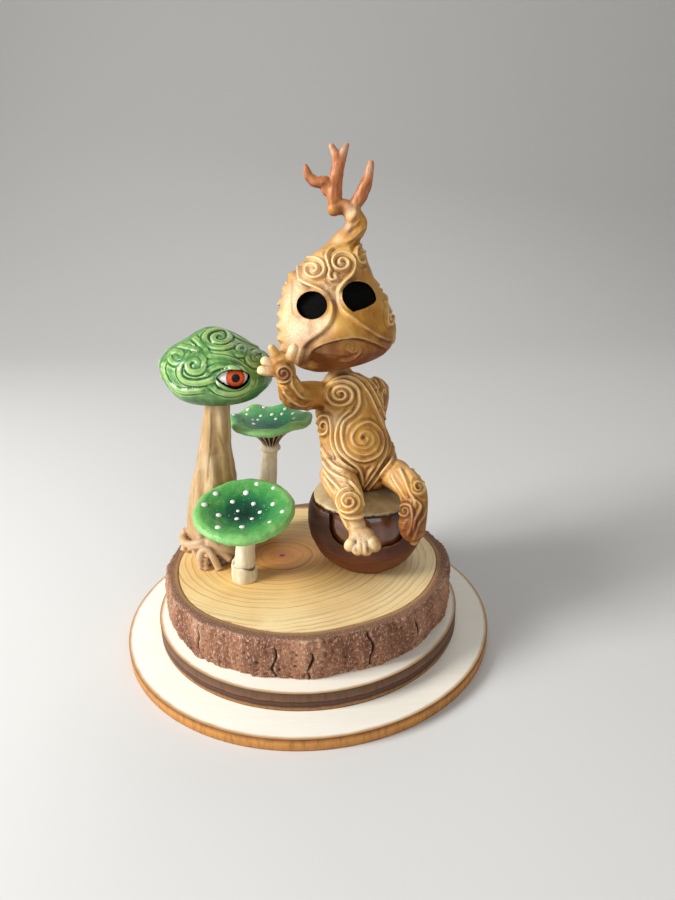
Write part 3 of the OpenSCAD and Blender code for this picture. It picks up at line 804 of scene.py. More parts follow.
log_wood, tree, shader = start_material("log_wood", 0.5)
bend = cloudy(tree, object_place(tree), 26, 3)
reach = swayed(tree, length_of(tree, stretched_place(tree, (1, 1.12, 0), (*PITH, 0))), bend, 7 * MM)
phase = calc(tree, "MULTIPLY", reach, 1 / (RING_STEP * MM))
slow_phase = add_node(tree, "CombineXYZ", {0: calc(tree, "MULTIPLY", phase, 0.4)}).outputs[0]
phase = calc(tree, "ADD", phase, calc(tree, "MULTIPLY", cloudy(tree, slow_phase, 1, 2), 3.5))
year = calc(tree, "FRACT", phase)
good_year = add_node(tree, "TexWhiteNoise", {"W": calc(tree, "FLOOR", phase)}, noise_dimensions="1D").outputs["Value"]
patchy = cloudy(tree, stretched_place(tree, (60, 60, 0)), 1, 3)
late = calc(tree, "MULTIPLY", calc(tree, "POWER", year, 5.0), between(tree, patchy, 0.2, 0.55))
late = calc(tree, "MULTIPLY", late, between(tree, good_year, -0.3, 0.9))
fibre = cloudy(tree, stretched_place(tree, (2600, 2600, 300)), 1, 3)
warm = cloudy(tree, object_place(tree), 42, 4)
wood = ramp(tree, calc(tree, "MULTIPLY", reach, 1 / (LOG_RADIUS * MM)), [
    (0.05, "a4662c"), (0.22, "c88c42"), (0.45, "f0c67c"), (0.9, "fee5ac")])
wood = tinted(tree, wood, warm, 0.4, 0.7, 0.35, "d79f50")
wood = mixed(tree, calc(tree, "MULTIPLY", late, 0.85), wood, rgb("8a4f1e"))
wood = tinted(tree, wood, reach, 2.6 * MM, 1.2 * MM, 1, "a8633a")
wood = tinted(tree, wood, reach, 1.1 * MM, 0.5 * MM, 1, "5a2d1a")
wood = tinted(tree, wood, fibre, 0.5, 0.8, 0.25, "b98344")
paint(tree, shader, wood)
bump(tree, shader, calc(tree, "MULTIPLY_ADD", late, -0.6, fibre), 0.06)
frame["nodes"]["log_slice"].data.materials.clear()
frame["nodes"]["log_slice"].data.materials.append(log_wood)
print("pith at", PITH, "rings every", RING_STEP, "mm")

# %% [markdown]
# ## The bark
# The bark is a rough ring. A bump in its material would stay smooth at the outline, so its copy is remeshed to a fine
# skin and every point is moved along its normal: a broad bulge at half height, lumpy plates between upright
# cracks, and a sandy grain over all of it.
# Five of the cracks sit where the picture shows them, and the rest are spread round the ring.

# %% Bark shape
BARK_RADIUS = 46
BARK_TOP_INNER, BARK_TOP_OUTER = 42.5, 45.5
BARK_CRACKS_SEEN = [(198, 635), (272, 657), (310, 661), (375, 650), (418, 628)]
BARK_CRACKS_HIDDEN = (8, 31, 47, 66, 88, 104, 121, 146, 163, 179, 201)


def crack_angle(pixel):
    """The angle round the ring at which a pixel meets the bark's mean radius."""
    eye, look = picture_ray(pixel)
    a, b = look.xy.length_squared, eye.xy.dot(look.xy)
    t = (-b - math.sqrt(b * b - a * (eye.xy.length_squared - (BARK_RADIUS * MM) ** 2))) / a
    return math.atan2(eye.y + t * look.y, eye.x + t * look.x)


def round_ring(turn, scale, height):
    """Noise that closes on itself round the ring: a larger scale gives smaller lumps."""
    return noise.noise(Vector((math.cos(turn) * scale, math.sin(turn) * scale, height)))


bark = reskin(copy_of("bark", "bark_ring"), voxel=0.42, swell=0)
points, normals = points_of(bark), normals_of(bark)
low, high = (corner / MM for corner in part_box("bark_ring"))
angle = np.arctan2(points[:, 1], points[:, 0])
share = (points[:, 2] - low.z) / (high.z - low.z)
outward = (normals[:, :2] * np.stack([np.cos(angle), np.sin(angle)], 1)).sum(1)
outer = smoothstep(0.0, 0.5, outward)
crack_angles = [crack_angle(p) for p in BARK_CRACKS_SEEN] + [math.radians(a) for a in BARK_CRACKS_HIDDEN]
push = np.zeros(len(points))
crack = np.zeros(len(points))
for k, (p, turn) in enumerate(zip(points, angle)):
    z = p[2]
    push[k] = round_ring(turn, 2.6, 3.0) + 0.55 * round_ring(turn, 9, z / 9) + 0.45 * round_ring(turn, 22, z / 7)
    push[k] += 0.3 * noise.fractal(Vector(p) * 0.9, 0.8, 2.0, 3)
    wander = noise.noise(Vector((z / 4, 7.0, 1.0))) * 0.9
    for j, a in enumerate(crack_angles):
        off = math.remainder(turn - a, 2 * math.pi) * BARK_RADIUS + wander + 0.5 * math.sin(z * 0.5 + j)
        wide = 0.4 + 0.3 * noise.noise(Vector((z / 3, j * 3.1, 0)))
        reach_up = float(smoothstep(0, 0.25, 1.06 - share[k] - 0.12 * (j % 3)))
        crack[k] = max(crack[k], math.exp(-((off / wide) ** 2)) * reach_up)
push += 1.1 * np.sin(math.pi * np.clip(share, 0, 1)) - 0.2
push = (push - 0.9 * crack) * outer
on_top = smoothstep(0.5, 0.9, normals[:, 2])
rim_reach = np.hypot(points[:, 0], points[:, 1])
rough_top = np.array([noise.fractal(Vector(p) * 0.7, 0.9, 2.0, 3) for p in points])
push += on_top * 0.16 * rough_top * smoothstep(BARK_TOP_INNER, BARK_TOP_OUTER, rim_reach)
move_out(bark, push)
soften(bark, 1)
print("bark with", len(crack_angles), "cracks, moved by", round(push.min(), 2), "to", round(push.max(), 2), "mm")

# %% [markdown]
# ## The bark's colours
# Bark is darkened in its cracks and hollows, which is painted shade, and pale flecks sit on the raised plates, partly
# the bark's own and partly painted highlight. The material can't see the relief, so the mesh stores it: the cracks,
# the hollows, the upper face, and the line where bark meets wood.

# %% Bark finish
SECTORS = 180

store(bark, "crack", np.clip(crack * outer, 0, 1))
store(bark, "hollow", hollows(bark, 6, 0.22))
store(bark, "top", on_top)
sector = ((angle + math.pi) / (2 * math.pi) * SECTORS).astype(int) % SECTORS
inner_edge = np.full(SECTORS, np.inf)
np.minimum.at(inner_edge, sector, rim_reach)
store(bark, "inner", smoothstep(1.9, 0.7, rim_reach - inner_edge[sector]))

bark_finish, tree, shader = start_material("bark_finish", 0.86, Specular_IOR_Level=0.25)
patch = cloudy(tree, stretched_place(tree, (110, 110, 40)), 1, 4)
flecks = cloudy(tree, stretched_place(tree, (2300, 2300, 1100)), 1, 3, 0.75)
raised = calc(tree, "SUBTRACT", flecks, calc(tree, "MULTIPLY", attribute(tree, "hollow"), 0.12))
bark_colour = ramp(tree, patch, [(0.3, "6b4331"), (0.5, "95654b"), (0.7, "b88a6c")])
# Painted shade darkens the hollows, and the pale flecks on the raised plates are partly painted highlight.
bark_colour = tinted(tree, bark_colour, attribute(tree, "hollow"), 0.1, 0.9, 1, "3a2019")
bark_colour = tinted(tree, bark_colour, raised, 0.54, 0.66, 0.62, "dfc5ac")
top_bark = ramp(tree, flecks, [(0.35, "6d4a36"), (0.55, "94705a"), (0.7, "c2a48c")])
top_bark = mixed(tree, attribute(tree, "inner"), top_bark, rgb("b98f60"))
bark_colour = mixed(tree, calc(tree, "MULTIPLY", attribute(tree, "top"), 0.85), bark_colour, top_bark)
# Painted shade in the cracks.
bark_colour = tinted(tree, bark_colour, attribute(tree, "crack"), 0.45, 0.95, 1, "2a1710")
paint(tree, shader, bark_colour)
bump(tree, shader, flecks, 0.35)
dress(bark, bark_finish, "stand", "bark", "bark_ring")

# %% [markdown]
# ## The seed
# The seat is a big polished seed in the lower half of its husk. It shows in the husk's opening, dark and glossy.
# A remeshed copy would give it a rippled highlight, and it has to reflect cleanly, so it is a fine ball cut flat by
# two bisects, with a small bevel at the cuts.

# %% Seed
SEED_AXIS = (20, 1)
SEED_CENTRE_Z = 39.5

low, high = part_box("seed")
bpy.ops.object.select_all(action="DESELECT")
bpy.ops.mesh.primitive_uv_sphere_add(
    segments=128,
    ring_count=64,
    radius=(high.x - low.x) / 2,
    location=(*((low + high) / 2).xy, SEED_CENTRE_Z * MM),
)
nut = bpy.context.object
nut.name = "nut"
bpy.ops.object.transform_apply(location=True)
bpy.ops.object.mode_set(mode="EDIT")
for height, lower in ((low.z, True), (high.z, False)):
    bpy.ops.mesh.select_all(action="SELECT")
    bpy.ops.mesh.bisect(
        plane_co=(0, 0, height), plane_no=(0, 0, 1), use_fill=True, clear_inner=lower, clear_outer=not lower
    )
bpy.ops.object.mode_set(mode="OBJECT")
finish_modifier(nut, "BEVEL", width=0.3 * MM, segments=3, limit_method="ANGLE", angle_limit=math.radians(40))

nut_gloss, tree, shader = start_material("nut_gloss", 0.3, Coat_Weight=0.9, Coat_Roughness=0.08)
streak = cloudy(tree, stretched_place(tree, (160, 160, 38), (*SEED_AXIS, 39)), 1, 4, 0.6)
shade = cloudy(tree, object_place(tree), 60, 3)
nut_colour = ramp(tree, streak, [(0.28, "361709"), (0.5, "62341d"), (0.72, "8d5a38")])
nut_colour = tinted(tree, nut_colour, shade, 0.5, 0.75, 0.8, "260f07")
paint(tree, shader, nut_colour)
bump(tree, shader, streak, 0.08)
dress(nut, nut_gloss, "stand", "seed_gloss", "seed")

# %% [markdown]
# ## The husk
# The husk is a matt brown bowl with a wide opening in front, whose lower corners are round. Its copy is remeshed and
# smoothed, because a dried husk has no sharp edge. The lip of the opening is thinner than the rest, so the points
# there are drawn in towards the seed, and soft noise makes the whole a little uneven.

# %% Husk
NOTCH_HALF = 13.4
NOTCH_FLOOR = 35.5
NOTCH_R = 6
LIP_THINNER = 2.0


def uneven(piece, scale, depth):
    """Moves each point along its normal by soft noise: scale is the size of a lump, depth its height."""
    move_out(piece, depth * np.array([noise.fractal(Vector(p) / scale, 0.8, 2.0, 3) for p in points_of(piece)]))


husk = reskin(copy_of("husk", "seed_cup"), voxel=0.38, swell=0)
soften(husk, 14)
points = points_of(husk)
from_middle = points - (*SEED_AXIS, SEED_CENTRE_Z)
out = np.linalg.norm(from_middle, axis=1)
beside = np.maximum(np.abs(from_middle[:, 0]) - NOTCH_HALF + NOTCH_R, 0)
below = np.maximum(NOTCH_FLOOR + NOTCH_R - points[:, 2], 0)
front_lip = smoothstep(5, 0, np.hypot(beside, below) - NOTCH_R) * smoothstep(0, -6, from_middle[:, 1])
thinner = LIP_THINNER * front_lip * smoothstep(17, 19, out)
place_points(husk, points - from_middle * (thinner / out)[:, None])
soften(husk, 4)
uneven(husk, 6, 0.22)
store(husk, "hollow", hollows(husk, 8, 0.2))

husk_finish, tree, shader = start_material("husk_finish", 0.5, Specular_IOR_Level=0.35)
whorl = cloudy(tree, stretched_place(tree, (30, 30, 260), (*SEED_AXIS, 39)), 1, 6, 0.65)
fine = cloudy(tree, stretched_place(tree, (220, 220, 1500), (*SEED_AXIS, 39)), 1, 3)
husk_colour = ramp(tree, whorl, [(0.3, "331d13"), (0.5, "4a2a1a"), (0.7, "5f3823")])
husk_colour = tinted(tree, husk_colour, height_of(tree), 40 * MM, 25 * MM, 0.8, "7d3d1c")
husk_colour = tinted(tree, husk_colour, fine, 0.5, 0.72, 0.4, "2a160e")
husk_colour = tinted(tree, husk_colour, attribute(tree, "hollow"), -0.25, -0.8, 1, "8a5636")
paint(tree, shader, husk_colour)
bump(tree, shader, fine, 0.12)
dress(husk, husk_finish, "stand", "cup_brown", "seed_cup")

# %% [markdown]
# ## The seed's scar
# On top lies the seed's pale scar, like a lid, on which the spirit sits. Its lower edge looks dark and crumbly where
# it parts from the husk, which is painted shade of the thin gap there. A broken edge and its gap could be modelled,
# but they are thinner than the skin's quads, so the shade is painted: dark below a height that noise moves up and
# down.

# %% Scar
SCAR_EDGE_HIGH, SCAR_EDGE_LOW = 47.6, 46.9

scar = reskin(copy_of("scar", "seed_crown"), voxel=0.34, swell=0)
soften(scar, 6)
uneven(scar, 4, 0.2)
store(scar, "hollow", hollows(scar, 6, 0.12))
scar_finish, tree, shader = start_material("scar_finish", 0.5)
streaks = cloudy(tree, stretched_place(tree, (200, 200, 60), (*SEED_AXIS, 48)), 1, 4, 0.6)
patch = cloudy(tree, object_place(tree), 90, 3)
scar_colour = ramp(tree, streaks, [(0.3, "ad9160"), (0.5, "c2aa7c"), (0.7, "d3c199")])
scar_colour = tinted(tree, scar_colour, patch, 0.5, 0.75, 0.5, "a08450")
scar_colour = tinted(tree, scar_colour, attribute(tree, "hollow"), 0.2, 0.9, 1, "6b4f2a")
# Painted shade along the lower edge, ragged by noise.
ragged_gap_shade = swayed(tree, height_of(tree), cloudy(tree, object_place(tree), 900, 3), 1.6 * MM)
scar_colour = tinted(tree, scar_colour, ragged_gap_shade, SCAR_EDGE_HIGH * MM, SCAR_EDGE_LOW * MM, 1, "1c0f08")
paint(tree, shader, scar_colour)
bump(tree, shader, streaks, 0.06)
dress(scar, scar_finish, "stand", "crown_cream", "seed_crown")

# %% [markdown]
# ## The spirit's clay
# The whole figure is one clay: golden ochre, washed with dark umber that stays in the grooves, and rubbed with
# cream on the ridges, which a painted highlight brightens. The carving stores how deep each point lies, so the wash
# follows the real relief, and in wide recesses it deepens into painted shade. A second stored value says where the
# maker rubbed more cream, such as on the fingertips, and where a painted highlight lights the cheek and the flank.
# A third holds painted shade: on faces that look down, in deep recesses and where the figure lies in shade.
# Above the head the clay turns to terracotta, so that part of the colour depends on the height alone.

# %% Clay finish
FIRED_FROM, FIRED_TO = 130, 138

clay, tree, shader = start_material("clay", 0.46, Specular_IOR_Level=0.4)
place = object_place(tree)
mottle = cloudy(tree, place, 150, 4)
grain = cloudy(tree, stretched_place(tree, (900, 900, 260)), 1, 4, 0.6)
speckle = cloudy(tree, place, 2600, 2)
clay_colour = ramp(tree, mottle, [(0.28, "a86c22"), (0.5, "c78d36"), (0.72, "dca94f")])
terracotta = ramp(tree, grain, [(0.3, "8f4d29"), (0.55, "b87040"), (0.75, "d09564")])
up = swayed(tree, height_of(tree), mottle, 8 * MM)
clay_colour = mixed(tree, between(tree, up, FIRED_FROM * MM, FIRED_TO * MM), clay_colour, terracotta)
clay_colour = tinted(tree, clay_colour, grain, 0.5, 0.75, 0.3, "9c672f")
# Cream that the maker rubbed on, with painted highlight on the lit cheek, brow and flank.
rubbed_cream_and_highlight = calc(tree, "MULTIPLY", attribute(tree, "cream"), between(tree, speckle, 0.05, 0.75))
clay_colour = mixed(tree, rubbed_cream_and_highlight, clay_colour, rgb("f5e6cc"))
# The umber wash in the grooves, deepened into painted shade in wide recesses; cream on the ridges, brightened as
# painted highlight.
clay_colour = tinted(tree, clay_colour, attribute(tree, "hollow"), 0.06, 0.75, 0.72, "5f3210")
clay_colour = tinted(tree, clay_colour, attribute(tree, "hollow"), -0.1, -0.7, 0.75, "f5dca2")
clay_colour = mixed(tree, attribute(tree, "shadow"), clay_colour, rgb("86481a"), "MULTIPLY")
clay_colour = mixed(tree, attribute(tree, "soot"), clay_colour, rgb("060504"))
paint(tree, shader, clay_colour)
bump(tree, shader, calc(tree, "ADD", grain, speckle), 0.05)


def wash_and_painted_light(piece, strength, cream_and_highlight_spots, shade_spots):
    """Stores where umber stays in the grooves, where cream lies or a highlight is painted, and where painted shade
    darkens the clay.
    """
    # The broad half of the relief makes the wash deepen into painted shade in wide recesses.
    relief = 0.55 * hollows(piece, 5, 0.14) + 0.45 * hollows(piece, 26, 0.5)
    store(piece, "hollow", strength * relief)
    store(piece, "cream", near_pixels(piece, cream_and_highlight_spots))
    # Painted shade on faces that look down, in wide deep recesses and at the shade spots.
    underside_shade = 0.7 * smoothstep(-0.15, -0.85, normals_of(piece)[:, 2])
    recess_shade = 0.6 * smoothstep(0.2, 0.9, hollows(piece, 90, 1.4))
    store(piece, "shadow", np.clip(underside_shade + recess_shade + near_pixels(piece, shade_spots), 0, 0.9))


print(clay.name, "turns to terracotta between", FIRED_FROM, "and", FIRED_TO, "mm above the table")

# %% [markdown]
# ## The spirit's body
# Torso, arms, hands, legs and feet are separate clay parts on wire pins, but the maker smeared their joints
# until no seam showed. It could be sculpted by hand, but drawn lines can be set exactly where the picture shows
# them: a double spiral on the chest and belly, long lines from the neck to the lap, and curls on the flank, the
# knees, the shin and the palm.

# %% Body lines seen in the picture
chest_and_belly = coil((341, 394.3), (359.5, 397), -2.4, (1, 0.82))[::-1] + [
    (359, 405), (353.5, 413.5), (343.4, 422.7), (341.9, 438), (348, 453.3), (363.3, 461), (378.6, 454.8),
    (383.2, 442.6), (380, 430.3), (369.4, 421.9), (358.7, 425.7), (351.8, 436.5), (355.6, 445.6), (366.4, 448),
    (373.2, 441), (371, 433.4), (365, 431.5), (360.6, 434.3), (359.6, 438.5), (362, 441.8)]
flank_curl = coil((323, 426.5), (329, 418), -1.7, (0.72, 1))[::-1] + [
    (331, 429), (331, 440.5), (334, 450.5), (340.5, 461), (349, 467.5), (355.5, 471.5)]
right_knee = coil((349.3, 501.5), (349.5, 487.5), -2.2)
left_knee = [
    (411.9, 485.4), (413, 492), (419.6, 494.2), (424, 489.8), (422.9, 484.3), (417.4, 482.1), (414.1, 485.4),
    (416.3, 489.8), (419.6, 489.8), (420, 487.1)]
left_shin = [(407, 536), (411, 527), (412.5, 517)] + coil((404.6, 511), (410.8, 507), -1.6)
palm_curl = coil((283.7, 373.5), (276.5, 379.5), -2.1)
BODY_LINES = [
    chest_and_belly, flank_curl, right_knee, left_knee, left_shin, palm_curl,
    [(349.5, 409.7), (340.3, 419.6), (335.8, 435), (338.8, 450.2), (349.5, 461), (358.7, 468.6), (361.8, 477.8),
     (363.3, 487)],
    [(323.5, 390.5), (332.7, 380.6), (345, 376), (357.2, 379.8), (367.9, 392), (374, 404.3), (380.2, 419.6),
     (386.3, 438), (385.5, 453.3), (377.1, 468.6), (367.9, 482.4), (363.3, 488.5)],
    [(351, 372.9), (366.4, 381.3), (375.6, 395), (381.7, 408.9), (387.8, 425.7), (393.2, 444)],
    [(357.2, 372.9), (372.5, 382.9), (380.2, 396.6), (383.2, 410.4)],
    [(371, 376), (379, 379), (384, 386), (385, 394)],
    [(375, 379.6), (378, 386.5), (377, 392.3), (380, 397.2)],
    [(384.5, 387.5), (381.5, 394.3), (382.5, 402), (380.5, 410)],
    [(391.5, 434), (394, 446), (391.5, 460), (382.5, 472), (373.5, 483.5), (367, 491)],
    [(374.5, 465.5), (368.5, 474), (365.5, 481)],
    [(321, 447), (326.5, 458), (335.5, 466.5), (345, 470.5)],
    [(322, 459.5), (328, 469.5), (338, 476), (346, 479)],
    [(323, 469), (329, 478), (336, 485), (340, 490)],
    [(324.5, 478), (329, 485.5), (333.5, 493)],
    [(349.5, 480), (357, 489.5), (362, 499), (364.5, 510)],
    [(339, 507), (342, 514.5), (349.5, 518.5), (360, 517.5), (364.5, 513)],
    [(340.5, 514.5), (345, 522), (347.5, 529)],
    [(399.5, 468), (404, 478), (407.5, 487), (411, 494.5), (414.5, 500), (415.5, 504)],
    [(391.5, 474.5), (395.5, 483), (401, 491), (404.5, 497.5)],
    [(412, 499.5), (417, 501.5), (421, 506), (418.5, 513), (415, 520), (413, 530)],
    [(426.2, 507.4), (424, 516.2), (419.6, 522.8), (416.3, 531.6), (414.1, 540.4)],
    [(291.5, 376), (292, 384.5), (296, 392), (300.5, 397), (306, 399)],
    [(283, 390), (287, 396), (293.5, 402), (300, 405.5), (308, 406)],
]

TOE_GAPS = [[(356, 539), (356.3, 545), (356.8, 552)], [(366.5, 539), (367.6, 545), (368.6, 552)]]
CURL_CENTRES = [(341, 394.3), (364.2, 437.6), (322.5, 427), (349.3, 501.5), (419, 487), (404.6, 511)]
print(len(BODY_LINES), "lines of the body are drawn on the picture")

# %% [markdown]
# ## The sides that the picture hides
# The back and the left side aren't in the picture, and a bare back would look unfinished, so their lines repeat the
# same kinds of curl. They are kept by the azimuth from which they are seen: 180 is the back, 90 the figure's left.

# %% Body lines on the hidden sides
BODY_HIDDEN_LINES = {180: [
    coil((-14.5, 77), (-19.5, 75.5), 2.0)[::-1] + [(-20, 71), (-17, 66)] + coil((-18.5, 60.5), (-13, 62), 2.1),
    coil((-23, 69), (-25.5, 66.5), 1.6)[::-1] + [(-25.5, 62), (-24.5, 56)],
    coil((-10.5, 66), (-8, 69.5), 1.7)[::-1] + [(-8.5, 62), (-10.5, 56), (-12, 53)],
    [(-13, 86), (-10, 81), (-8.5, 75)],
    [(-15, 85), (-21, 81), (-23.5, 75)],
    [(-25, 58), (-22, 53.5), (-17, 51.5)],
], 90: [
    [(8, 79), (12, 74), (14, 67), (15.5, 60), (16, 55)],
    [(10.5, 80.5), (14.5, 75), (16.5, 67), (17.5, 59)],
    coil((-2, 70), (1.5, 66), -1.6)[::-1] + [(1, 62), (-3, 57)],
    [(-5, 80), (-4, 74), (-5.5, 66), (-4, 59)],
    coil((-8, 55.5), (-4.5, 55), 1.5),
]}
print({azimuth: len(lines) for azimuth, lines in BODY_HIDDEN_LINES.items()}, "lines on the hidden sides")

# %% [markdown]
# ## Skin and carving of the body
# The copies are reskinned together, and the armpit is melted until the arm grows out of the chest. Fingertips, toes,
# knees and the belly swell a little before the lines are carved, as the maker pressed the forms before the ornament.

# %% Carve the body
BODY_NODES = [
    "torso", "arm_right", "hand_right", "arm_left", "hand_left", "leg_right", "foot_right", "leg_left", "foot_left"]
ARMPIT = [((329, 394), 4, 1), ((330, 384), 4, 1), ((321, 403), 4, 1)]
BODY_SWELLS = [
    ((266, 351), 1.5, 0.55), ((262.5, 361), 1.5, 0.5), ((261, 370.5), 1.5, 0.5), ((292, 348), 1.5, 0.55),
    ((318, 388), 4.0, 0.7), ((349, 502), 4.0, 0.5), ((419, 488), 3.6, 0.5), ((364, 440), 7.0, 0.7),
    ((399.5, 508), 3, 1.2), ((399, 516), 3, 1.2), ((402, 526), 3, 0.3), ((321.5, 461), 2.5, 0.9),
    ((322, 455), 2.5, 0.5), ((350, 542), 1.6, 0.6), ((360.5, 548), 1.7, 0.6), ((372, 541), 1.8, 0.6),
    ((287, 395), 1.2, 0.6), ((291.5, 402), 1.2, 0.6), ((299.5, 407), 1.2, 0.6), ((308, 409), 1.2, 0.5)]

spirit_body = reskin(copy_of("spirit_body", *BODY_NODES), voxel=0.295, swell=0.14)
soften(spirit_body, 22)
melt(spirit_body, near_pixels(spirit_body, ARMPIT), 30)
skin = skin_tree(spirit_body)
drawn = press_all(skin, BODY_LINES, BODY_HIDDEN_LINES)
toe_gaps = [press_picture(skin, line) for line in TOE_GAPS]
swell(spirit_body, BODY_SWELLS)
carve(spirit_body, drawn)
carve(spirit_body, toe_gaps, rise=-0.6, drop=-0.1)
swell(spirit_body, [(centre, 0.8, -0.55) for centre in CURL_CENTRES])
print("carved lines:", sum(len(line) > 2 for line in drawn), "and", len(toe_gaps), "gaps between the toes")

# %% [markdown]
# ## Wash, cream and painted light on the body
# The maker brushed dark wash over the figure, wiped it off the ridges and rubbed cream on what sticks out. The
# relief finds most of these places by itself. The spots add the rest: cream on the fingertips and toes, a painted
# highlight on the lit flank, and painted shade on the left foot, in the palm, in the lap, between the toes and in
# the middle of each curl.

# %% Wash the body
BODY_CREAM_AND_HIGHLIGHT = [
    ((266, 352), 2.2, 0.9), ((262, 361), 2.2, 0.9), ((261, 370), 2.2, 0.9), ((291, 349), 2.2, 0.8),
    ((349, 541), 3.0, 0.7), ((357, 544), 3.0, 0.8), ((366, 541), 3.2, 0.8), ((358, 530), 4.0, 0.5),
    ((330, 462), 5.5, 0.55), ((340, 484), 5, 0.4), ((396, 478), 4.5, 0.3), ((328, 374), 2.2, 0.5),
    ((320, 379), 2.5, 0.5), ((319, 440), 6, 0.55), ((331, 474), 4.5, 0.6), ((337, 421), 3, 0.4), ((345, 381), 4, 0.3)]
BODY_SHADE = [
    ((390, 440), 5, 0.5), ((386, 396), 4, 0.35), ((316, 408), 5, 0.4), ((412, 527), 9, 0.9), ((408, 536), 6, 0.9),
    ((404, 506), 5, 0.65), ((341, 371.5), 2.5, 0.8), ((308, 403), 4, 0.5), ((284, 374), 3, 0.9), ((370, 470), 5, 0.3),
    ((362, 487), 3, 0.6), ((365, 500), 3, 0.6), ((365, 512), 3, 0.55), ((372, 489), 4, 0.6), ((356.5, 550), 1, 0.6),
    ((368, 550), 1, 0.6)]

store(spirit_body, "soot", np.zeros(len(spirit_body.data.vertices)))
wash_and_painted_light(
    spirit_body, np.ones(len(spirit_body.data.vertices)), BODY_CREAM_AND_HIGHLIGHT,
    BODY_SHADE + [(centre, 0.9, 0.6) for centre in CURL_CENTRES])
dress(spirit_body, clay, "stand", "clay", *BODY_NODES)

# %% [markdown]
# ## The spirit's head
# Head, topknot and antlers are reskinned together too, and they ride on the head's own body, because the head
# turns on its neck peg. The brow lines run down from two forehead curls and frame the eyes and the muzzle, the
# trunk on top is folded, and the outer edges of the face are scalloped by short ribs. All of it is drawn first.
# Left and right are the picture's here, apart from the two eyes, which are named from the figure's own side.

# %% Head lines
LEFT_BROW = [(299.5, 279.5), (307, 283.7), (316.5, 287.7), (325.5, 292.5)]
RIGHT_BROW = [(352.5, 273.5), (345.5, 280.5), (340.5, 287), (338, 293)]
LEFT_CHEEK = [
    (322, 290.5), (328, 295.5), (332.3, 303.5), (332.6, 312), (328.5, 323), (319.5, 332.5), (309.5, 339.5),
    (303.5, 346), (300.8, 354), (299, 366)]
RIGHT_CHEEK = [
    (339.5, 289), (337.7, 297), (340, 306), (346.5, 313.5), (355, 319), (362, 325), (373, 332), (383, 338),
    (393, 341)]
EYE_HOLLOW = [(290.5, 274.5), (290.3, 288), (290, 304), (291.5, 314.5), (299, 320.5), (311, 322), (320, 321)]
LIP = [
    (306.5, 369), (307.5, 360), (312.5, 350.5), (323, 344.5), (337, 340), (350.5, 338), (364.5, 339.5), (377, 344),
    (388, 350)]
HEAD_CURLS = [
    coil((313, 269), (298.3, 273.5), 1.9, (1, 0.86))[::-1] + LEFT_BROW,
    coil((342.3, 262.3), (355, 265), -1.75, (1, 0.9))[::-1] + RIGHT_BROW,
    [(330, 248.5), (326.5, 255), (328, 263), (330, 269.5), (329, 275),
     (331.5, 279.5), (336, 278.5), (335.5, 274.5)],
    coil((362, 252), (366, 262), 1.3, (0.6, 1)),
    [(386, 300.5), (387.5, 308)] + coil((391, 318.5), (387.2, 316), -1.4, (0.5, 1)),
]
TRUNK_FOLDS = [
    [(327.2, 250.5), (333.4, 245.9), (341.9, 242.4), (351.1, 239), (358.1, 233.2), (363.5, 228.2), (366.5, 224.5)],
    [(344.5, 232.5), (350, 228), (356, 224), (360, 219.8), (361.5, 215)],
    [(349.5, 222), (352.5, 218), (355, 213), (355.5, 208.5), (354.5, 204.5)],
]
CHIN_CURL = [(341, 361.5), (349, 360.5), (356, 357.5)] + coil((354.5, 350), (361.5, 352.5), -1.5, (1, 0.85))
LEFT_EDGE_RIBS = [(284, 276), (280, 289), (277, 302), (275, 314), (275, 326), (277, 338), (280, 349)]
RIGHT_EDGE_RIBS = [(384, 283), (388, 290), (391, 297)]
HEAD_HIDDEN_LINES = {
    180: [
        coil((-18, 112), (-15, 107), 1.8)[::-1] + [(-19, 103), (-22, 97)],
        coil((-8, 110.5), (-4, 106.5), 2.0)[::-1] + [(-5.5, 101), (-9, 97), (-14, 95), (-20, 94)],
        coil((-14, 102.5), (-9.5, 101.5), -1.9),
        coil((-1.5, 98), (2, 95), 1.7)[::-1] + [(-2, 92.5), (-8, 91)],
        coil((-22.5, 103), (-25, 99), 1.5),
        [(-15, 121), (-13, 117), (-13.5, 112), (-12, 107)],
        [(-11, 120), (-9.5, 117), (-12, 113)],
    ],
    90: [
        coil((5, 108), (9, 104), 1.8)[::-1] + [(6, 99), (0, 96)],
        coil((8, 97), (12, 94), 1.7),
        [(2, 118), (4, 114), (1, 110), (-2, 105), (-3, 99)],
    ],
    270: [
        coil((-6, 110), (-9, 106), -1.8)[::-1] + [(-6, 101), (0, 97), (6, 95)],
        coil((-9, 97.5), (-13, 95), -1.7),
        [(-1, 118), (-3, 114), (-1, 109), (4, 104), (7, 98)],
        coil((2, 104), (5, 101), 1.5),
    ],
}
EYE_RIGHT_OUTLINE = np.array([
    (312 + 15.6 * math.cos(a), 305.3 + 14.3 * math.sin(a)) for a in np.linspace(0, 2 * math.pi, 48, False)])
EYE_LEFT_OUTLINE = np.array(smooth_line(
    [(353, 312.3), (346.5, 306.5), (342.3, 298.5), (343, 290), (348.5, 283.5), (357, 281), (366, 283),
     (372.5, 289), (376, 297), (375, 302.5), (366, 308.3), (353.2, 312.3)], 1.5))
print(len(HEAD_CURLS), "curls in front,", sum(map(len, HEAD_HIDDEN_LINES.values())), "lines on the hidden sides")

# %% [markdown]
# ## Forms of the head
# The face is modelled before it is carved: sockets and cheeks are hollowed, the muzzle is pushed out, and the chin
# below the lip is cut back. The CAD head has eye pockets, and swollen copies of the eyes plug them until the
# sockets are pressed in later. The seams at the trunk's foot and below the antlers are melted away.

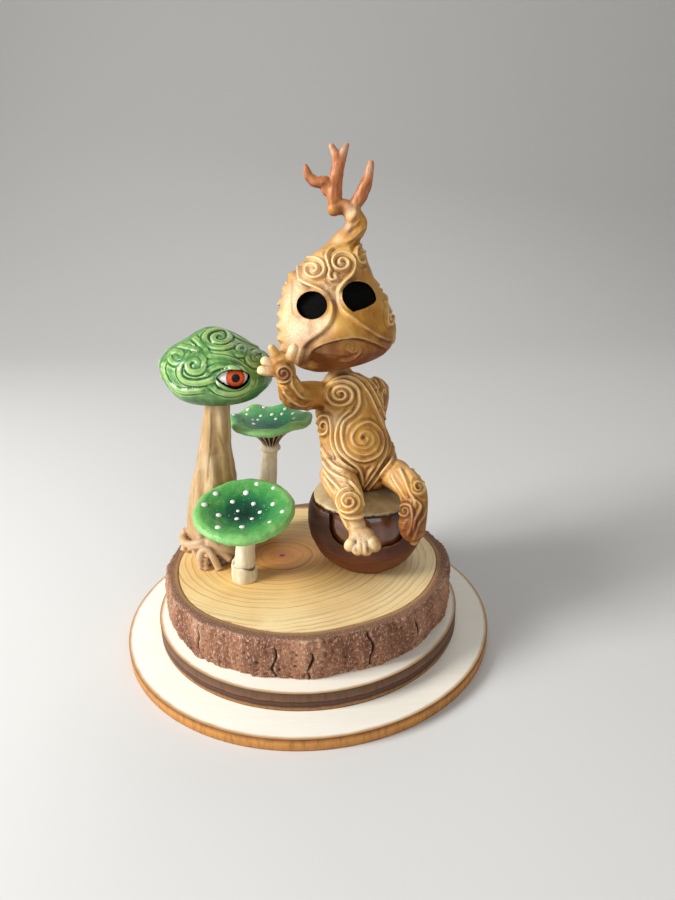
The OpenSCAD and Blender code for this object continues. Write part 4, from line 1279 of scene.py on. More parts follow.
# %% Model the head
HEAD_NODES = ["head", "topknot", "antler_right", "antler_left"]
TRUNK_AXIS = (13.5, 4)
TRUNK_SEAM_Z, ANTLER_SEAM_Z = 123.5, 132.8
HEAD_SWELLS = [
    ((312, 305), 5.0, -0.9), ((359, 297), 5.0, -0.8), ((336, 318), 3.5, 0.6), ((347, 328), 6.0, 0.7),
    ((352, 355), 6.0, -1.0), ((325, 360), 5.0, -0.9), ((328, 262), 8.0, 0.35), ((362.5, 253), 1.3, -0.9),
    ((322, 369), 4.0, -1.0), ((341, 209), 1.4, -0.6)]

eye_plugs = copy_of("eye_plugs", "eye_right", "eye_left")
finish_modifier(eye_plugs, "DISPLACE", strength=0.45 * MM, mid_level=0)
spirit_head = copy_of("spirit_head", *HEAD_NODES)
only(eye_plugs, spirit_head)
bpy.ops.object.join()
spirit_head = reskin(spirit_head, voxel=0.27, swell=0.14)
soften(spirit_head, 26)
points = points_of(spirit_head)
from_trunk = np.hypot(*(points[:, :2] - TRUNK_AXIS).T)
trunk_seam = np.exp(-(((points[:, 2] - TRUNK_SEAM_Z) / 2) ** 2)) * smoothstep(9, 6, from_trunk)
antler_seam = 0.8 * np.exp(-(((points[:, 2] - ANTLER_SEAM_Z) / 1.3) ** 2))
melt(spirit_head, np.maximum(trunk_seam, antler_seam), 24)
swell(spirit_head, HEAD_SWELLS)


def scallop_edge(piece, pixels, inward, half, width, height):
    """Pushes out short soft ribs that run over the edge of the piece as the eye sees it.

    Each pixel steps inward until it meets the skin, and its rib follows the line of sight there.
    """
    tree = skin_tree(piece)
    ribs = []
    for x, y in pixels:
        for _ in range(40):
            eye, look = picture_ray((x, y))
            hit = tree.ray_cast(eye, look)[0]
            if hit:
                along = [hit + look * t * MM for t in np.arange(-half, half, 0.2)]
                ribs.append(np.array([tree.find_nearest(spot)[0] / MM for spot in along]))
                break
            x += 0.5 * inward
    gap, _, _, to_end = nearest_drawn(points_of(piece), ribs)
    move_out(piece, height * np.exp(-((gap / width) ** 2)) * smoothstep(-1, 2, to_end))


scallop_edge(spirit_head, LEFT_EDGE_RIBS, inward=1, half=3.2, width=1.3, height=1.1)
scallop_edge(spirit_head, RIGHT_EDGE_RIBS, inward=-1, half=2.0, width=1.0, height=0.8)
print("head skin:", len(spirit_head.data.vertices), "points")

# %% [markdown]
# ## Carving of the head
# All lines are pressed on before the first cut, so that no cut bends a later line. Brows, cheeks, lip and folds are
# steps: the clay is scooped on one side only. The curls leave crests. At the end the antlers get small knobs, and
# the trunk is roped by ridges that wind round it.

# %% Carve the head
KNOBS_FROM, KNOBS_TO = 129, 133
FACE_STEPS = [
    (LEFT_BROW, -1, 0, 0.5, 2.4), (RIGHT_BROW, 1, 0, 0.5, 2.2), (LEFT_CHEEK, 1, 0.3, 0.85, 3.0),
    (RIGHT_CHEEK, -1, 0.3, 0.8, 3.0), (EYE_HOLLOW, 1, 0.1, 0.6, 1.8), (LIP, -1, 0.1, 1.5, 4.0)]
TRUNK_STEPS = [(line, -1, 0.15, drop, 2.0) for line, drop in zip(TRUNK_FOLDS, (1.0, 0.7, 0.9))]

skin = skin_tree(spirit_head)
steps = [(press_picture(skin, line), *cut) for line, *cut in FACE_STEPS + TRUNK_STEPS]
drawn = press_all(skin, HEAD_CURLS, HEAD_HIDDEN_LINES)
chin_curl = press_picture(skin, CHIN_CURL)
for line, side, rise, drop, reach in steps:
    carve_step(spirit_head, line, side, rise, drop, reach)
carve(spirit_head, drawn, rise=0.55, drop=0.55)
carve(spirit_head, [chin_curl], rise=0.4, drop=0.35)
points = points_of(spirit_head)
knobs = smoothstep(KNOBS_FROM, KNOBS_TO, points[:, 2]) * [noise.fractal(Vector(p) / 4, 0.8, 2.0, 2) for p in points]
move_out(spirit_head, 0.35 * knobs)


def twist_trunk(piece, axis_low, axis_high, ridges, depth, turns):
    """Ropes the upright trunk between two points with ridges that wind round it."""
    points = points_of(piece)
    low, high = np.array(axis_low), np.array(axis_high)
    t = (points[:, 2] - low[2]) / (high[2] - low[2])
    centre = low + np.clip(t, 0, 1)[:, None] * (high - low)
    around = np.arctan2(points[:, 1] - centre[:, 1], points[:, 0] - centre[:, 0])
    strength = smoothstep(-0.1, 0.25, t) * smoothstep(1.25, 0.95, t)
    wave = np.sin(ridges * around + 2 * math.pi * turns * t)
    move_out(piece, depth * strength * wave)


twist_trunk(spirit_head, (14.5, 4, 123.5), (17, 4, 133), ridges=3, depth=0.25, turns=-1.1)
print(len(steps), "steps and", sum(len(line) > 2 for line in drawn) + 1, "crests are carved")

# %% [markdown]
# ## Sockets and wash of the head
# Each eye socket is a hole with a crisp rim. A boolean cut would break the even skin, so the skin itself is pressed
# in: points near the drawn outline snap onto it, and those inside sink along the line of sight. The wash, with its
# painted highlights and painted shade, is stored before that, while the relief still shows the clay and not the
# holes, and the holes are blackened with soot.

# %% Press the sockets
EYE_DEPTH = 1.5
SOCKET_DEPTH = EYE_DEPTH + 2.5
SOCKET_REACH = 9
RIM_SNAP = 0.17
# Cream rubbed on the face and antlers, with painted highlight on the lit left cheek, brow, forehead and antler edges.
# Below, painted shade under the lip, on the chin, in the knot's recess and on the right side.
HEAD_CREAM_AND_HIGHLIGHT = [
    ((294, 333), 7, 0.75), ((289, 300), 6, 0.7), ((300, 283), 5, 0.65), ((285, 318), 5, 0.7), ((298, 352), 4.5, 0.6),
    ((313, 265), 6, 0.45), ((334, 285), 4, 0.35), ((340, 262), 5, 0.3), ((337, 298), 2.5, 0.6), ((318, 325), 4, 0.6),
    ((326, 290), 3, 0.4), ((338, 241), 2.5, 0.3), ((347, 228), 2, 0.35), ((350, 211), 2.2, 0.45),
    ((345, 150), 1.6, 0.4), ((371, 168), 1.8, 0.35), ((330, 150), 1.6, 0.4)]
HEAD_SHADE = [
    ((320, 358), 4, 0.85), ((335, 350), 4, 0.8), ((350, 347), 4, 0.65), ((365, 349), 4, 0.7), ((377, 353), 4, 0.8),
    ((341, 209.5), 1.3, 0.8), ((330, 364), 5, 0.85), ((350, 360), 5, 0.85), ((368, 357), 5, 0.85),
    ((309, 346), 2.2, 0.7), ((386, 343), 4, 0.6), ((376, 283), 6, 0.15)]


def closed(outline):
    return np.concatenate([outline, outline[:1]])


def press_socket(piece, outline, middle, depth):
    """Sinks the part of the face inside an outline along the line of sight, to make an eye socket."""
    points = points_of(piece)
    rim = press_picture(skin_tree(piece), closed(outline), 0.3)
    gap, spots, _, _ = nearest_drawn(points, [rim])
    on_rim = gap < RIM_SNAP
    points[on_rim] = spots[on_rim]
    near = np.linalg.norm(points - middle, axis=1) < SOCKET_REACH
    chosen = inside_outline(picture_pixels(points), outline) & near & ~on_rim
    sight = points[chosen] - np.array(CAMERA_AT) / MM
    points[chosen] += sight * (depth / np.linalg.norm(sight, axis=1))[:, None]
    place_points(piece, points)
    return chosen


def eye_frame(node):
    """An eye's middle and three directions, from its CAD ellipsoid: into the face, across and up."""
    mesh_points = np.array([v.co for v in frame["nodes"][node].data.vertices]) / MM
    middle = mesh_points.mean(0)
    spread = np.linalg.eigh(np.cov((mesh_points - middle).T))[1]
    inward = spread[:, 0] if spread[1, 0] > 0 else -spread[:, 0]
    across = np.cross(inward, (0, 0, 1.0))
    across /= np.linalg.norm(across)
    return middle, inward, across, np.cross(across, inward)


skin = skin_tree(spirit_head)
rims = [press_picture(skin, closed(outline)) for outline in (EYE_RIGHT_OUTLINE, EYE_LEFT_OUTLINE)]
melt(spirit_head, smoothstep(1.4, 0.4, nearest_drawn(points_of(spirit_head), rims)[0]), 6)
below_trunk = smoothstep(128, 121, points_of(spirit_head)[:, 2])
wash_and_painted_light(spirit_head, 0.5 + 0.25 * below_trunk, HEAD_CREAM_AND_HIGHLIGHT, HEAD_SHADE)
soot = press_socket(spirit_head, EYE_RIGHT_OUTLINE, eye_frame("eye_right")[0], SOCKET_DEPTH)
soot |= press_socket(spirit_head, EYE_LEFT_OUTLINE, eye_frame("eye_left")[0], SOCKET_DEPTH)
store(spirit_head, "soot", soot)
dress(spirit_head, clay, "head", "clay", *HEAD_NODES)

# %% [markdown]
# ## The spirit's eyes
# The eyes are deep, matt black and give no highlight. Each is a lens: a ball pressed flat, with its outline drawn
# in or out until it follows the socket. It lies below the rim, so the lids cast their own edge around it.

# %% Eyes
LENS_MARGIN = 1.03
LENS_THICK = 0.7

eye_black, tree, shader = start_material("eye_black", 0.85, Specular_IOR_Level=0.08)
soot = cloudy(tree, object_place(tree), 900, 3)
paint(tree, shader, ramp(tree, soot, [(0.3, "040403"), (0.7, "0a0908")]))
bump(tree, shader, soot, 0.04)


def socket_eye(name, node, outline):
    """A flat lens that fills a socket's outline, set below the rim."""
    middle, inward, across, upward = eye_frame(node)
    rim = []
    for eye, look in map(picture_ray, outline):
        t = (Vector(middle) - eye / MM).dot(Vector(inward)) / look.dot(Vector(inward))
        spot = np.array(eye / MM + look * t) - middle
        rim.append((spot @ across, spot @ upward))
    rim = np.array(rim)
    centre = rim.mean(0)
    angles = np.arctan2(rim[:, 1] - centre[1], rim[:, 0] - centre[0])
    reach = np.hypot(*(rim - centre).T)
    order = np.argsort(angles)
    bpy.ops.object.select_all(action="DESELECT")
    bpy.ops.mesh.primitive_uv_sphere_add(segments=64, ring_count=32, radius=1)
    lens = bpy.context.object
    lens.name = name
    ball = np.array([v.co for v in lens.data.vertices])
    around = np.arctan2(ball[:, 1], ball[:, 0])
    wide = LENS_MARGIN * np.interp(around, angles[order], reach[order], period=2 * math.pi)
    flat = centre + ball[:, :2] * wide[:, None]
    deep = EYE_DEPTH - LENS_THICK * ball[:, 2:]
    place_points(lens, middle + deep * inward + flat[:, :1] * across + flat[:, 1:] * upward)
    face_outwards(lens)
    dress(lens, eye_black, "head", "eye_black", node)


socket_eye("spirit_eye_right", "eye_right", EYE_RIGHT_OUTLINE)
socket_eye("spirit_eye_left", "eye_left", EYE_LEFT_OUTLINE)

# %% [markdown]
# ## The eye toadstool's stem
# The tallest toadstool has a fluted beige stem that spreads into looping roots. Its clay is streaked along the
# stem and reddish at the foot, so the pattern is noise that is stretched upwards. Painted shade darkens the folds
# and the gaps between the roots, and a painted highlight lightens the ridges.

# %% Stem finish
stem_clay, tree, shader = start_material("stem_clay", 0.55)
fibres = cloudy(tree, stretched_place(tree, (520, 520, 34)), 1, 5, 0.6)
mottle = cloudy(tree, object_place(tree), 120, 3)
stem_colour = ramp(tree, fibres, [(0.25, "987546"), (0.5, "b4915f"), (0.75, "d0b78f")])
stem_colour = tinted(tree, stem_colour, mottle, 0.45, 0.7, 0.35, "d6c2a0")
# Painted shade in the folds, and a painted highlight on the ridges between them.
stem_colour = tinted(tree, stem_colour, attribute(tree, "hollow"), 0.08, 0.7, 1, "6b4722")
stem_colour = tinted(tree, stem_colour, attribute(tree, "hollow"), -0.2, -0.9, 0.6, "eaddc4")
stem_colour = tinted(tree, stem_colour, height_of(tree), 38 * MM, 30 * MM, 0.45, "d6b08c")
stem_colour = mixed(tree, attribute(tree, "shadow"), stem_colour, rgb("4a2512"), "MULTIPLY")
paint(tree, shader, stem_colour)
bump(tree, shader, fibres, 0.06)
print(stem_clay.name, "has", len(tree.nodes), "nodes")

# %% [markdown]
# ## Roots
# In front, two ropes of clay run round the foot of the stem and a loop stands before them like an arch, over a low
# mound. The roots behind aren't seen and are plain feelers under a ring. Those in front could be set by eye in the
# viewport, but drawn on the picture they fall into place: each has a radius at either end and a lift to the eye.

# %% Root lines
STEM_FOOT = np.array([-32.3, 8, 23.5])
ABOVE_WOOD = 0.02
ROOT_LINES = [
    ([(185.8, 530), (183.7, 534.2), (182.7, 538.8), (184.5, 542.5), (188.7, 544.2), (194.5, 544), (201.2, 542.3),
      (207.8, 541.8), (215.3, 545), (222, 547.9), (228.7, 548.8), (234.5, 549.2)], 1.1, 1.8, 0),
    ([(188.7, 548.8), (194.5, 547.1), (200.3, 546.3), (207, 546.7), (212, 548.8), (218.7, 552), (225.3, 555.8),
      (230.3, 559.2)], 0.8, 1.4, 0),
    ([(201.3, 568.8), (200.3, 561.7), (200.2, 555.8), (202.4, 551.3), (206.2, 550), (209.9, 552.1), (212.8, 556.7),
      (215.8, 562.5), (219.1, 570)], 1.15, 1.25, 1.4),
    ([(206.6, 570), (205.3, 565), (205.2, 560.8), (206.3, 557.5)], 0.95, 0.85, 0.8),
]
ROOT_SHADE = [
    ((203, 561.5), 0.42, 0.85), ((203.4, 566), 0.42, 0.85), ((208.8, 560), 0.6, 0.9), ((210, 565), 0.7, 0.9),
    ((217, 556.5), 1.1, 0.85), ((220, 561), 1.4, 0.95), ((222.5, 565.5), 1.5, 0.95), ((226, 565), 1.5, 0.95),
    ((196, 551), 1.0, 0.6), ((190, 539), 1.0, 0.6), ((203, 537.5), 1.0, 0.6)]
STEM_FOLDS = [
    [(209, 405.6), (209.6, 431.7), (207.2, 460.7), (205.2, 484)],
    [(216, 431.7), (222.6, 449), (228.4, 466.5), (232, 481)],
    [(226, 405.6), (227, 431.7), (231.3, 455), (234, 466)]]
HIDDEN_ROOTS = [(-18, 12.5), (30, 12), (85, 12.5), (135, 11.5), (178, 11.5)]
print(len(ROOT_LINES), "roots in front and", len(HIDDEN_ROOTS), "behind")

# %% [markdown]
# ## How a root is made
# A root is a rope of clay, rolled by hand. A chain of edges with a Skin modifier would pinch at the bends, so each
# root is a curve with a round bevel, whose radius can change along its way. As a mesh it can join the stem.

# %% Root helpers


def root_tube(points, thick, thin):
    """A round root along points in millimetres, changing from one radius to another."""
    curve = bpy.data.curves.new("root", "CURVE")
    curve.dimensions = "3D"
    curve.bevel_depth = MM
    curve.bevel_resolution = 4
    curve.use_fill_caps = True
    line = curve.splines.new("POLY")
    line.points.add(len(points) - 1)
    for spot, place, radius in zip(line.points, points, np.linspace(thick, thin, len(points))):
        spot.co = (*(np.array(place) * MM), 1)
        spot.radius = radius
    tube = bpy.data.objects.new("root", curve)
    scene.collection.objects.link(tube)
    only(tube)
    bpy.ops.object.convert(target="MESH")
    return bpy.context.object


def round_foot(angle, reach, height):
    """A place round the stem's foot, from an angle in degrees, a reach and a height."""
    a = math.radians(angle)
    return STEM_FOOT + (reach * math.cos(a), reach * math.sin(a), height)


def drawn_forward(points, lift):
    """Draws the upper part of a root towards the eye, so that it passes in front of its neighbours."""
    sight = np.array(CAMERA_AT) / MM - points
    share = lift * smoothstep(STEM_FOOT[2] + 0.5, STEM_FOOT[2] + 4.5, points[:, 2])
    return points + sight * (share / np.linalg.norm(sight, axis=1))[:, None]


print("the roots stand", STEM_FOOT[2], "mm above the table")

# %% [markdown]
# ## Stem and roots together
# A cone stands in for the foot while the front roots are pressed on, and goes again. Then the roots, the mound and
# a slightly slimmer copy of the stem are reskinned as one piece, so the roots grow out of the stem. The three
# folds that the picture shows are carved last.

# %% Join stem and roots
bpy.ops.object.select_all(action="DESELECT")
bpy.ops.mesh.primitive_cone_add(
    vertices=96, radius1=14 * MM, radius2=9.3 * MM, depth=8 * MM, location=Vector(STEM_FOOT + (0, 0, 4)) * MM)
skirt = bpy.context.object
bpy.ops.object.transform_apply(location=True)
bench = skin_tree(skirt)
tubes = [
    root_tube(drawn_forward(press_picture(bench, line), lift), thick, thin) for line, thick, thin, lift in ROOT_LINES]
bpy.data.objects.remove(skirt)
bpy.ops.object.select_all(action="DESELECT")
bpy.ops.mesh.primitive_cone_add(
    vertices=64, radius1=6.6 * MM, radius2=4.4 * MM, depth=5.6 * MM,
    location=Vector(STEM_FOOT + (1.8, -5.3, 2.8)) * MM)
mound = bpy.context.object
bpy.ops.object.transform_apply(location=True)
tubes.append(mound)
for angle, reach in HIDDEN_ROOTS:
    way = [(8.2, 0, 6.4), (9.8, 4, 4.6), (0.84 * reach, 9, 2.4), (reach - 1, 14, 1.1)]
    tubes.append(root_tube(smooth_line([round_foot(angle + turn, out, up) for out, turn, up in way], 0.8), 1.6, 1.1))
ring = [round_foot(angle, 10, 5.6 + 1.2 * math.sin(math.radians(2 * angle))) for angle in range(-45, 212, 16)]
tubes.append(root_tube(smooth_line(ring, 0.8), 1.4, 1.0))
tall_stem = copy_of("tall_stem", "eye_toadstool_stem")
points = points_of(tall_stem)
slimmer = 0.14 * smoothstep(34, 25, points[:, 2]) + 0.07 * smoothstep(76, 60, points[:, 2])
points[:, :2] -= (points[:, :2] - STEM_FOOT[:2]) * slimmer[:, None]
place_points(tall_stem, points)
only(*tubes, tall_stem)
bpy.ops.object.join()
tall_stem = reskin(tall_stem, voxel=0.3, swell=0)
soften(tall_stem, 10)
points = points_of(tall_stem)
points[:, 2] = np.maximum(points[:, 2], STEM_FOOT[2] + ABOVE_WOOD)
place_points(tall_stem, points)
skin = skin_tree(tall_stem)
for fold in STEM_FOLDS:
    carve_step(tall_stem, press_picture(skin, fold), side=1, rise=0.1, drop=0.4, reach=3.4)
uneven(tall_stem, 5, 0.14)
store(tall_stem, "hollow", hollows(tall_stem, 16, 0.35))
store(tall_stem, "shadow", near_pixels(tall_stem, ROOT_SHADE))
dress(tall_stem, stem_clay, "stand", "stem_beige", "eye_toadstool_stem", "eye_toadstool_roots")

# %% [markdown]
# ## The eye toadstool's cap
# The cap is lumpy and carved like the spirit, with wider and softer curls, and an eye looks out between two lids.
# Its lines and the outline of the lids are drawn like those of the spirit.

# %% Cap lines and lids
CAP_LINES = [
    coil((219.4, 336.9), (234.5, 343.5), 1.9, (1, 0.62)),
    coil((177.3, 356.2), (187, 352), 1.7, (1, 0.75)),
    [(215, 378.6), (207.8, 381.8), (197.7, 383.6), (187.6, 382.6), (181.1, 378.6), (178.9, 372.8), (180.3, 365.6),
     (185.4, 358.4), (193.4, 354.7), (201.3, 356.2), (204.6, 362), (202.7, 369.2), (196.2, 372.1), (189.7, 370.6),
     (187.3, 364.9), (190.5, 359.8), (196.2, 359.8), (198.4, 363.4), (196, 366.3)],
    coil((241, 349.7), (236, 352.5), -1.5),
    coil((257, 357), (249, 351), -1.7),
    [(205.6, 354.7), (215, 356.9), (226.6, 358.4), (236.7, 362), (245.4, 367.7), (251.2, 372.8)],
    [(207.8, 362.7), (217.9, 361), (228, 362.7), (238.2, 365.6), (246.1, 370.6)],
    [(207.8, 371.4), (212.1, 368.5), (219.4, 365.6), (228, 365.8), (236.7, 368.2)],
    [(211.4, 385.8), (217.9, 391.6), (229.5, 394.5), (242.5, 392.3), (251.2, 385.8), (253.3, 377.1)],
    [(165.9, 359.8), (163.7, 368.5), (165.9, 377.1), (171.7, 385.8), (181.8, 391.6), (193.4, 391.6), (204.9, 390.1)],
    [(225.1, 329.5), (236.7, 336.7), (249.7, 343.2), (264.2, 349.7)],
    [(193.4, 336.7), (203.5, 346.8), (206.4, 352.6)],
    [(178.9, 345.3), (191.9, 348.2), (202, 351.1)],
]
CAP_HIDDEN_LINES = {
    180: [
        coil((26, 92), (32, 89), 1.8)[::-1] + [(29, 84), (20, 83)],
        coil((33, 85), (37, 83), 1.6),
        coil((18, 88), (14, 85), -1.7)[::-1] + [(17, 81), (24, 79.5)],
        coil((26, 97), (22, 95), 1.6),
    ],
    90: [coil((6, 91), (1.5, 88), -1.8)[::-1] + [(4, 84), (11, 83)], coil((13, 90), (16, 87), 1.6)],
    270: [coil((-7, 90), (-12, 87), 1.8)[::-1] + [(-9, 83), (-2, 82)], coil((2, 91), (5.5, 88), -1.6)],
}
LID_OUTLINE = np.array(smooth_line(
    [(217.8, 378), (223.5, 373.8), (232, 371.8), (241, 372.2), (247, 374.8), (247.8, 377.5), (244.5, 383.3),
     (236.8, 387.3), (228.2, 385.3), (222, 381.8), (217.8, 378)], 1.0))
print(len(CAP_LINES), "lines on the picture,", sum(map(len, CAP_HIDDEN_LINES.values())), "on the hidden sides")

# %% [markdown]
# ## Glaze of the cap
# The cap is glazed in green: dark in the grooves, yellow-green on the ridges, under a clear coat. The line round the
# eye is black and matt, so the coat and the highlights fade where the mesh stores the liner.

# %% Cap glaze
cap_glaze, tree, shader = start_material("cap_glaze", 0.4)
mottle = cloudy(tree, object_place(tree), 130, 4)
streak = cloudy(tree, object_place(tree), 700, 3)
cap_colour = ramp(tree, mottle, [(0.3, "276634"), (0.5, "40803d"), (0.7, "6a9f52")])
cap_colour = tinted(tree, cap_colour, streak, 0.5, 0.72, 0.35, "87ad55")
cap_colour = tinted(tree, cap_colour, attribute(tree, "hollow"), -0.02, -0.4, 0.75, "b4d47e")
cap_colour = tinted(tree, cap_colour, attribute(tree, "hollow"), 0.05, 0.6, 0.75, "12482a")
# Painted shade: darker towards the lower edge, under the rim.
cap_colour = tinted(tree, cap_colour, height_of(tree), 84 * MM, 79 * MM, 0.85, "114d26")
bare = calc(tree, "SUBTRACT", 1.0, attribute(tree, "liner"))
paint(tree, shader, mixed(tree, bare, rgb("050706"), cap_colour))
tree.links.new(calc(tree, "MULTIPLY", bare, 0.3), shader.inputs["Coat Weight"])
tree.links.new(calc(tree, "MULTIPLY", bare, 0.5), shader.inputs["Specular IOR Level"])
bump(tree, shader, streak, 0.06)
print(cap_glaze.name, "has", len(tree.nodes), "nodes")

# %% [markdown]
# ## Shape of the cap
# The rim waves, the right shoulder is pressed in and the brow above the eye swells. The curls are broad bands between
# two grooves. The lids come last: the clay inside their outline sinks to make room for the eyeball, and the edge
# round it is raised.

# %% Cap shape
CAP_AXIS = (-25.4, 6)
CAP_RIM_Z = 82.5
EYE_POCKET = 2.2
CAP_SWELLS = [
    ((244, 335), 5, -1.3), ((252, 342), 4, -0.9), ((233, 379), 4.6, 0.5), ((226, 362), 5, 0.5), ((206, 350), 4, -0.5),
    ((185, 375), 4.5, 0.4)]

tall_cap = reskin(copy_of("tall_cap", "eye_toadstool_cap", "toadstool_eye"), voxel=0.28, swell=0.06)
soften(tall_cap, 26)
points = points_of(tall_cap)
across, along = (points[:, :2] - CAP_AXIS).T
rim = np.exp(-(((points[:, 2] - CAP_RIM_Z) / 3.2) ** 2)) * smoothstep(9, 14, np.hypot(across, along))
move_out(tall_cap, 0.5 * rim * (0.4 + np.sin(5 * np.arctan2(along, across) + 0.8)))
swell(tall_cap, CAP_SWELLS)
skin = skin_tree(tall_cap)
carve_ribbon(tall_cap, press_all(skin, CAP_LINES, CAP_HIDDEN_LINES), width=1.05, rise=0.55)
soften(tall_cap, 1)
store(tall_cap, "hollow", 0.5 * hollows(tall_cap, 6, 0.14) + 0.5 * hollows(tall_cap, 24, 0.45))

gap = nearest_drawn(points_of(tall_cap), [press_picture(skin, LID_OUTLINE)])[0]
inside = inside_outline(picture_pixels(points_of(tall_cap)), LID_OUTLINE) & faces_camera(tall_cap)
eye_middle, eye_inward, eye_across, eye_upward = eye_frame("toadstool_eye")
move_out(tall_cap, 0.55 * np.exp(-((gap / 0.8) ** 2)) * ~inside)
points = points_of(tall_cap)
points[inside] += eye_inward * EYE_POCKET
place_points(tall_cap, points)
store(tall_cap, "liner", np.maximum(smoothstep(0.75, 0.35, gap), inside))
dress(tall_cap, cap_glaze, "stand", "cap_green", "eye_toadstool_cap")

# %% [markdown]
# ## The painted eye
# The cap's eye is a glossy ball behind the lids, white with an orange-red iris and a black pupil. The iris is
# painted by the distance from its middle, measured across the eye, and thin streaks make it look alive.

# %% Eyeball
IRIS_PIXEL = (235.8, 378.4)
IRIS_R = 2.8
PUPIL_R = 1.25
PAINT_EDGE = 0.08
EYE_WIDE, EYE_TALL, EYE_THICK = 4.9, 3.3, 2.2
EYE_SET_BACK = 0.2

bpy.ops.object.select_all(action="DESELECT")
bpy.ops.mesh.primitive_uv_sphere_add(segments=64, ring_count=32, radius=1)
eyeball = bpy.context.object
eyeball.name = "eyeball"
x, y, z = np.array([v.co for v in eyeball.data.vertices]).T[:, :, None]
deep = EYE_SET_BACK - EYE_THICK * z
place_points(eyeball, eye_middle + deep * eye_inward + EYE_WIDE * x * eye_across + EYE_TALL * y * eye_upward)
face_outwards(eyeball)
iris_hit = np.array(skin_tree(eyeball).ray_cast(*picture_ray(IRIS_PIXEL))[0] / MM)
offset = points_of(eyeball) - iris_hit
behind = offset @ eye_inward > 3
store(eyeball, "iris", np.hypot(offset @ eye_across, offset @ eye_upward) + 20 * behind)

eye_paint, tree, shader = start_material("eye_paint", 0.3, Specular_IOR_Level=0.3)
reach = attribute(tree, "iris")
fibre = cloudy(tree, object_place(tree), 1600, 3)
iris = ramp(tree, calc(tree, "MULTIPLY", reach, 1 / IRIS_R), [
    (0.3, "d23a1c"), (0.55, "f06428"), (0.82, "ee5122"), (0.95, "bd2f18")])
iris = tinted(tree, iris, fibre, 0.5, 0.7, 0.5, "f58c42")
white = ramp(tree, fibre, [(0.3, "f6f1e4"), (0.7, "fdfbf4")])
eye_colour = mixed(tree, between(tree, reach, IRIS_R + PAINT_EDGE, IRIS_R - PAINT_EDGE), white, iris)
eye_colour = tinted(tree, eye_colour, reach, PUPIL_R + PAINT_EDGE, PUPIL_R - PAINT_EDGE, 1, "0c0a09")
paint(tree, shader, eye_colour)
dress(eyeball, eye_paint, "stand", "eye_white", "toadstool_eye")

# %% [markdown]
# ## The two spotted toadstools
# One has a wavy funnel with gills under it, the other a shallow dish. Both are green, darker and bluer towards the
# middle, with fine glitter in the varnish. The colour runs with the distance from the cap's own axis, which is
# tilted, so the mesh stores that distance as a share of the cap's radius.

# %% Green varnish
FUNNEL_AXIS = (-12, 21)
DISH_MIDDLE = Vector((-17.8, -13, 50))
DISH_TILT = math.radians(12)


def varnish(name, middle, rim):
    """Green paint from the middle of a cap to its rim, under a glittering clear coat."""
    material, tree, shader = start_material(
        name, 0.46, Specular_IOR_Level=0.3, Coat_Weight=0.12, Coat_Roughness=0.25)
    place = object_place(tree)
    mottle = cloudy(tree, place, 190, 4)
    blotch = cloudy(tree, place, 260, 3)
    fine = cloudy(tree, place, 1500, 3)
    reach = swayed(tree, attribute(tree, "reach"), mottle, 0.3)
    colour = ramp(tree, reach, [(0.05, middle[0]), (0.3, middle[1]), (0.5, rim[0]), (0.8, rim[1]), (0.97, rim[2])])
    outer = between(tree, reach, 0.3, 0.6)
    lime = calc(tree, "MULTIPLY", between(tree, blotch, 0.48, 0.7), calc(tree, "MULTIPLY", outer, 0.25))
    colour = mixed(tree, lime, colour, rgb("9cc45a"))
    colour = tinted(tree, colour, fine, 0.52, 0.7, 0.3, "14562c")
    colour = tinted(tree, colour, attribute(tree, "hollow"), 0.1, 0.8, 0.6, "0d4527")
    glitter = add_node(tree, "TexVoronoi", {"Vector": place, "Scale": 1350.0})
    spark = between(tree, glitter.outputs["Distance"], 0.24, 0.14)
    lucky = between(tree, add_node(tree, "SeparateColor", {0: glitter.outputs["Color"]}).outputs[0], 0.66, 0.74)
    spark = calc(tree, "MULTIPLY", spark, calc(tree, "MULTIPLY", lucky, between(tree, reach, 1.1, 0.3)))
    colour = mixed(tree, calc(tree, "MULTIPLY", spark, 0.7), colour, rgb("cfeedd"))
    paint(tree, shader, colour)
    bump(tree, shader, fine, 0.06)
    return material


dish_varnish = varnish("dish_varnish", ("072b20", "105036"), ("2b7f42", "57a656", "86c26f"))
funnel_varnish = varnish("funnel_varnish", ("124f3a", "25714f"), ("398856", "66ae68", "92c87c"))

print("varnishes:", dish_varnish.name, funnel_varnish.name)

# %% [markdown]
# ## The two caps
# Both caps are pressed by hand and never quite round. Their copies are remeshed and smoothed, and noise in two sizes
# gives the dish its dents. The funnel's rim waves up and down six times on its way round.

# %% Caps
DISH_RADIUS, FUNNEL_RADIUS = 15.6, 14.2
FUNNEL_Z = 62


def reach_across(piece, middle, tilt, radius):
    """Stores how far each point lies from a cap's axis, as a share of the cap's radius."""
    local = (points_of(piece) - np.array(middle)) @ np.array(Matrix.Rotation(tilt, 3, "X"))
    store(piece, "reach", np.hypot(local[:, 0], local[:, 1]) / radius)


dish = reskin(copy_of("dish", "dish_toadstool_cap"), voxel=0.34, swell=0)
soften(dish, 22)
uneven(dish, 7, 0.32)
uneven(dish, 2.2, 0.1)
reach_across(dish, DISH_MIDDLE, DISH_TILT, DISH_RADIUS)
store(dish, "hollow", hollows(dish, 14, 0.2))
dress(dish, dish_varnish, "stand", "cap_green", "dish_toadstool_cap")

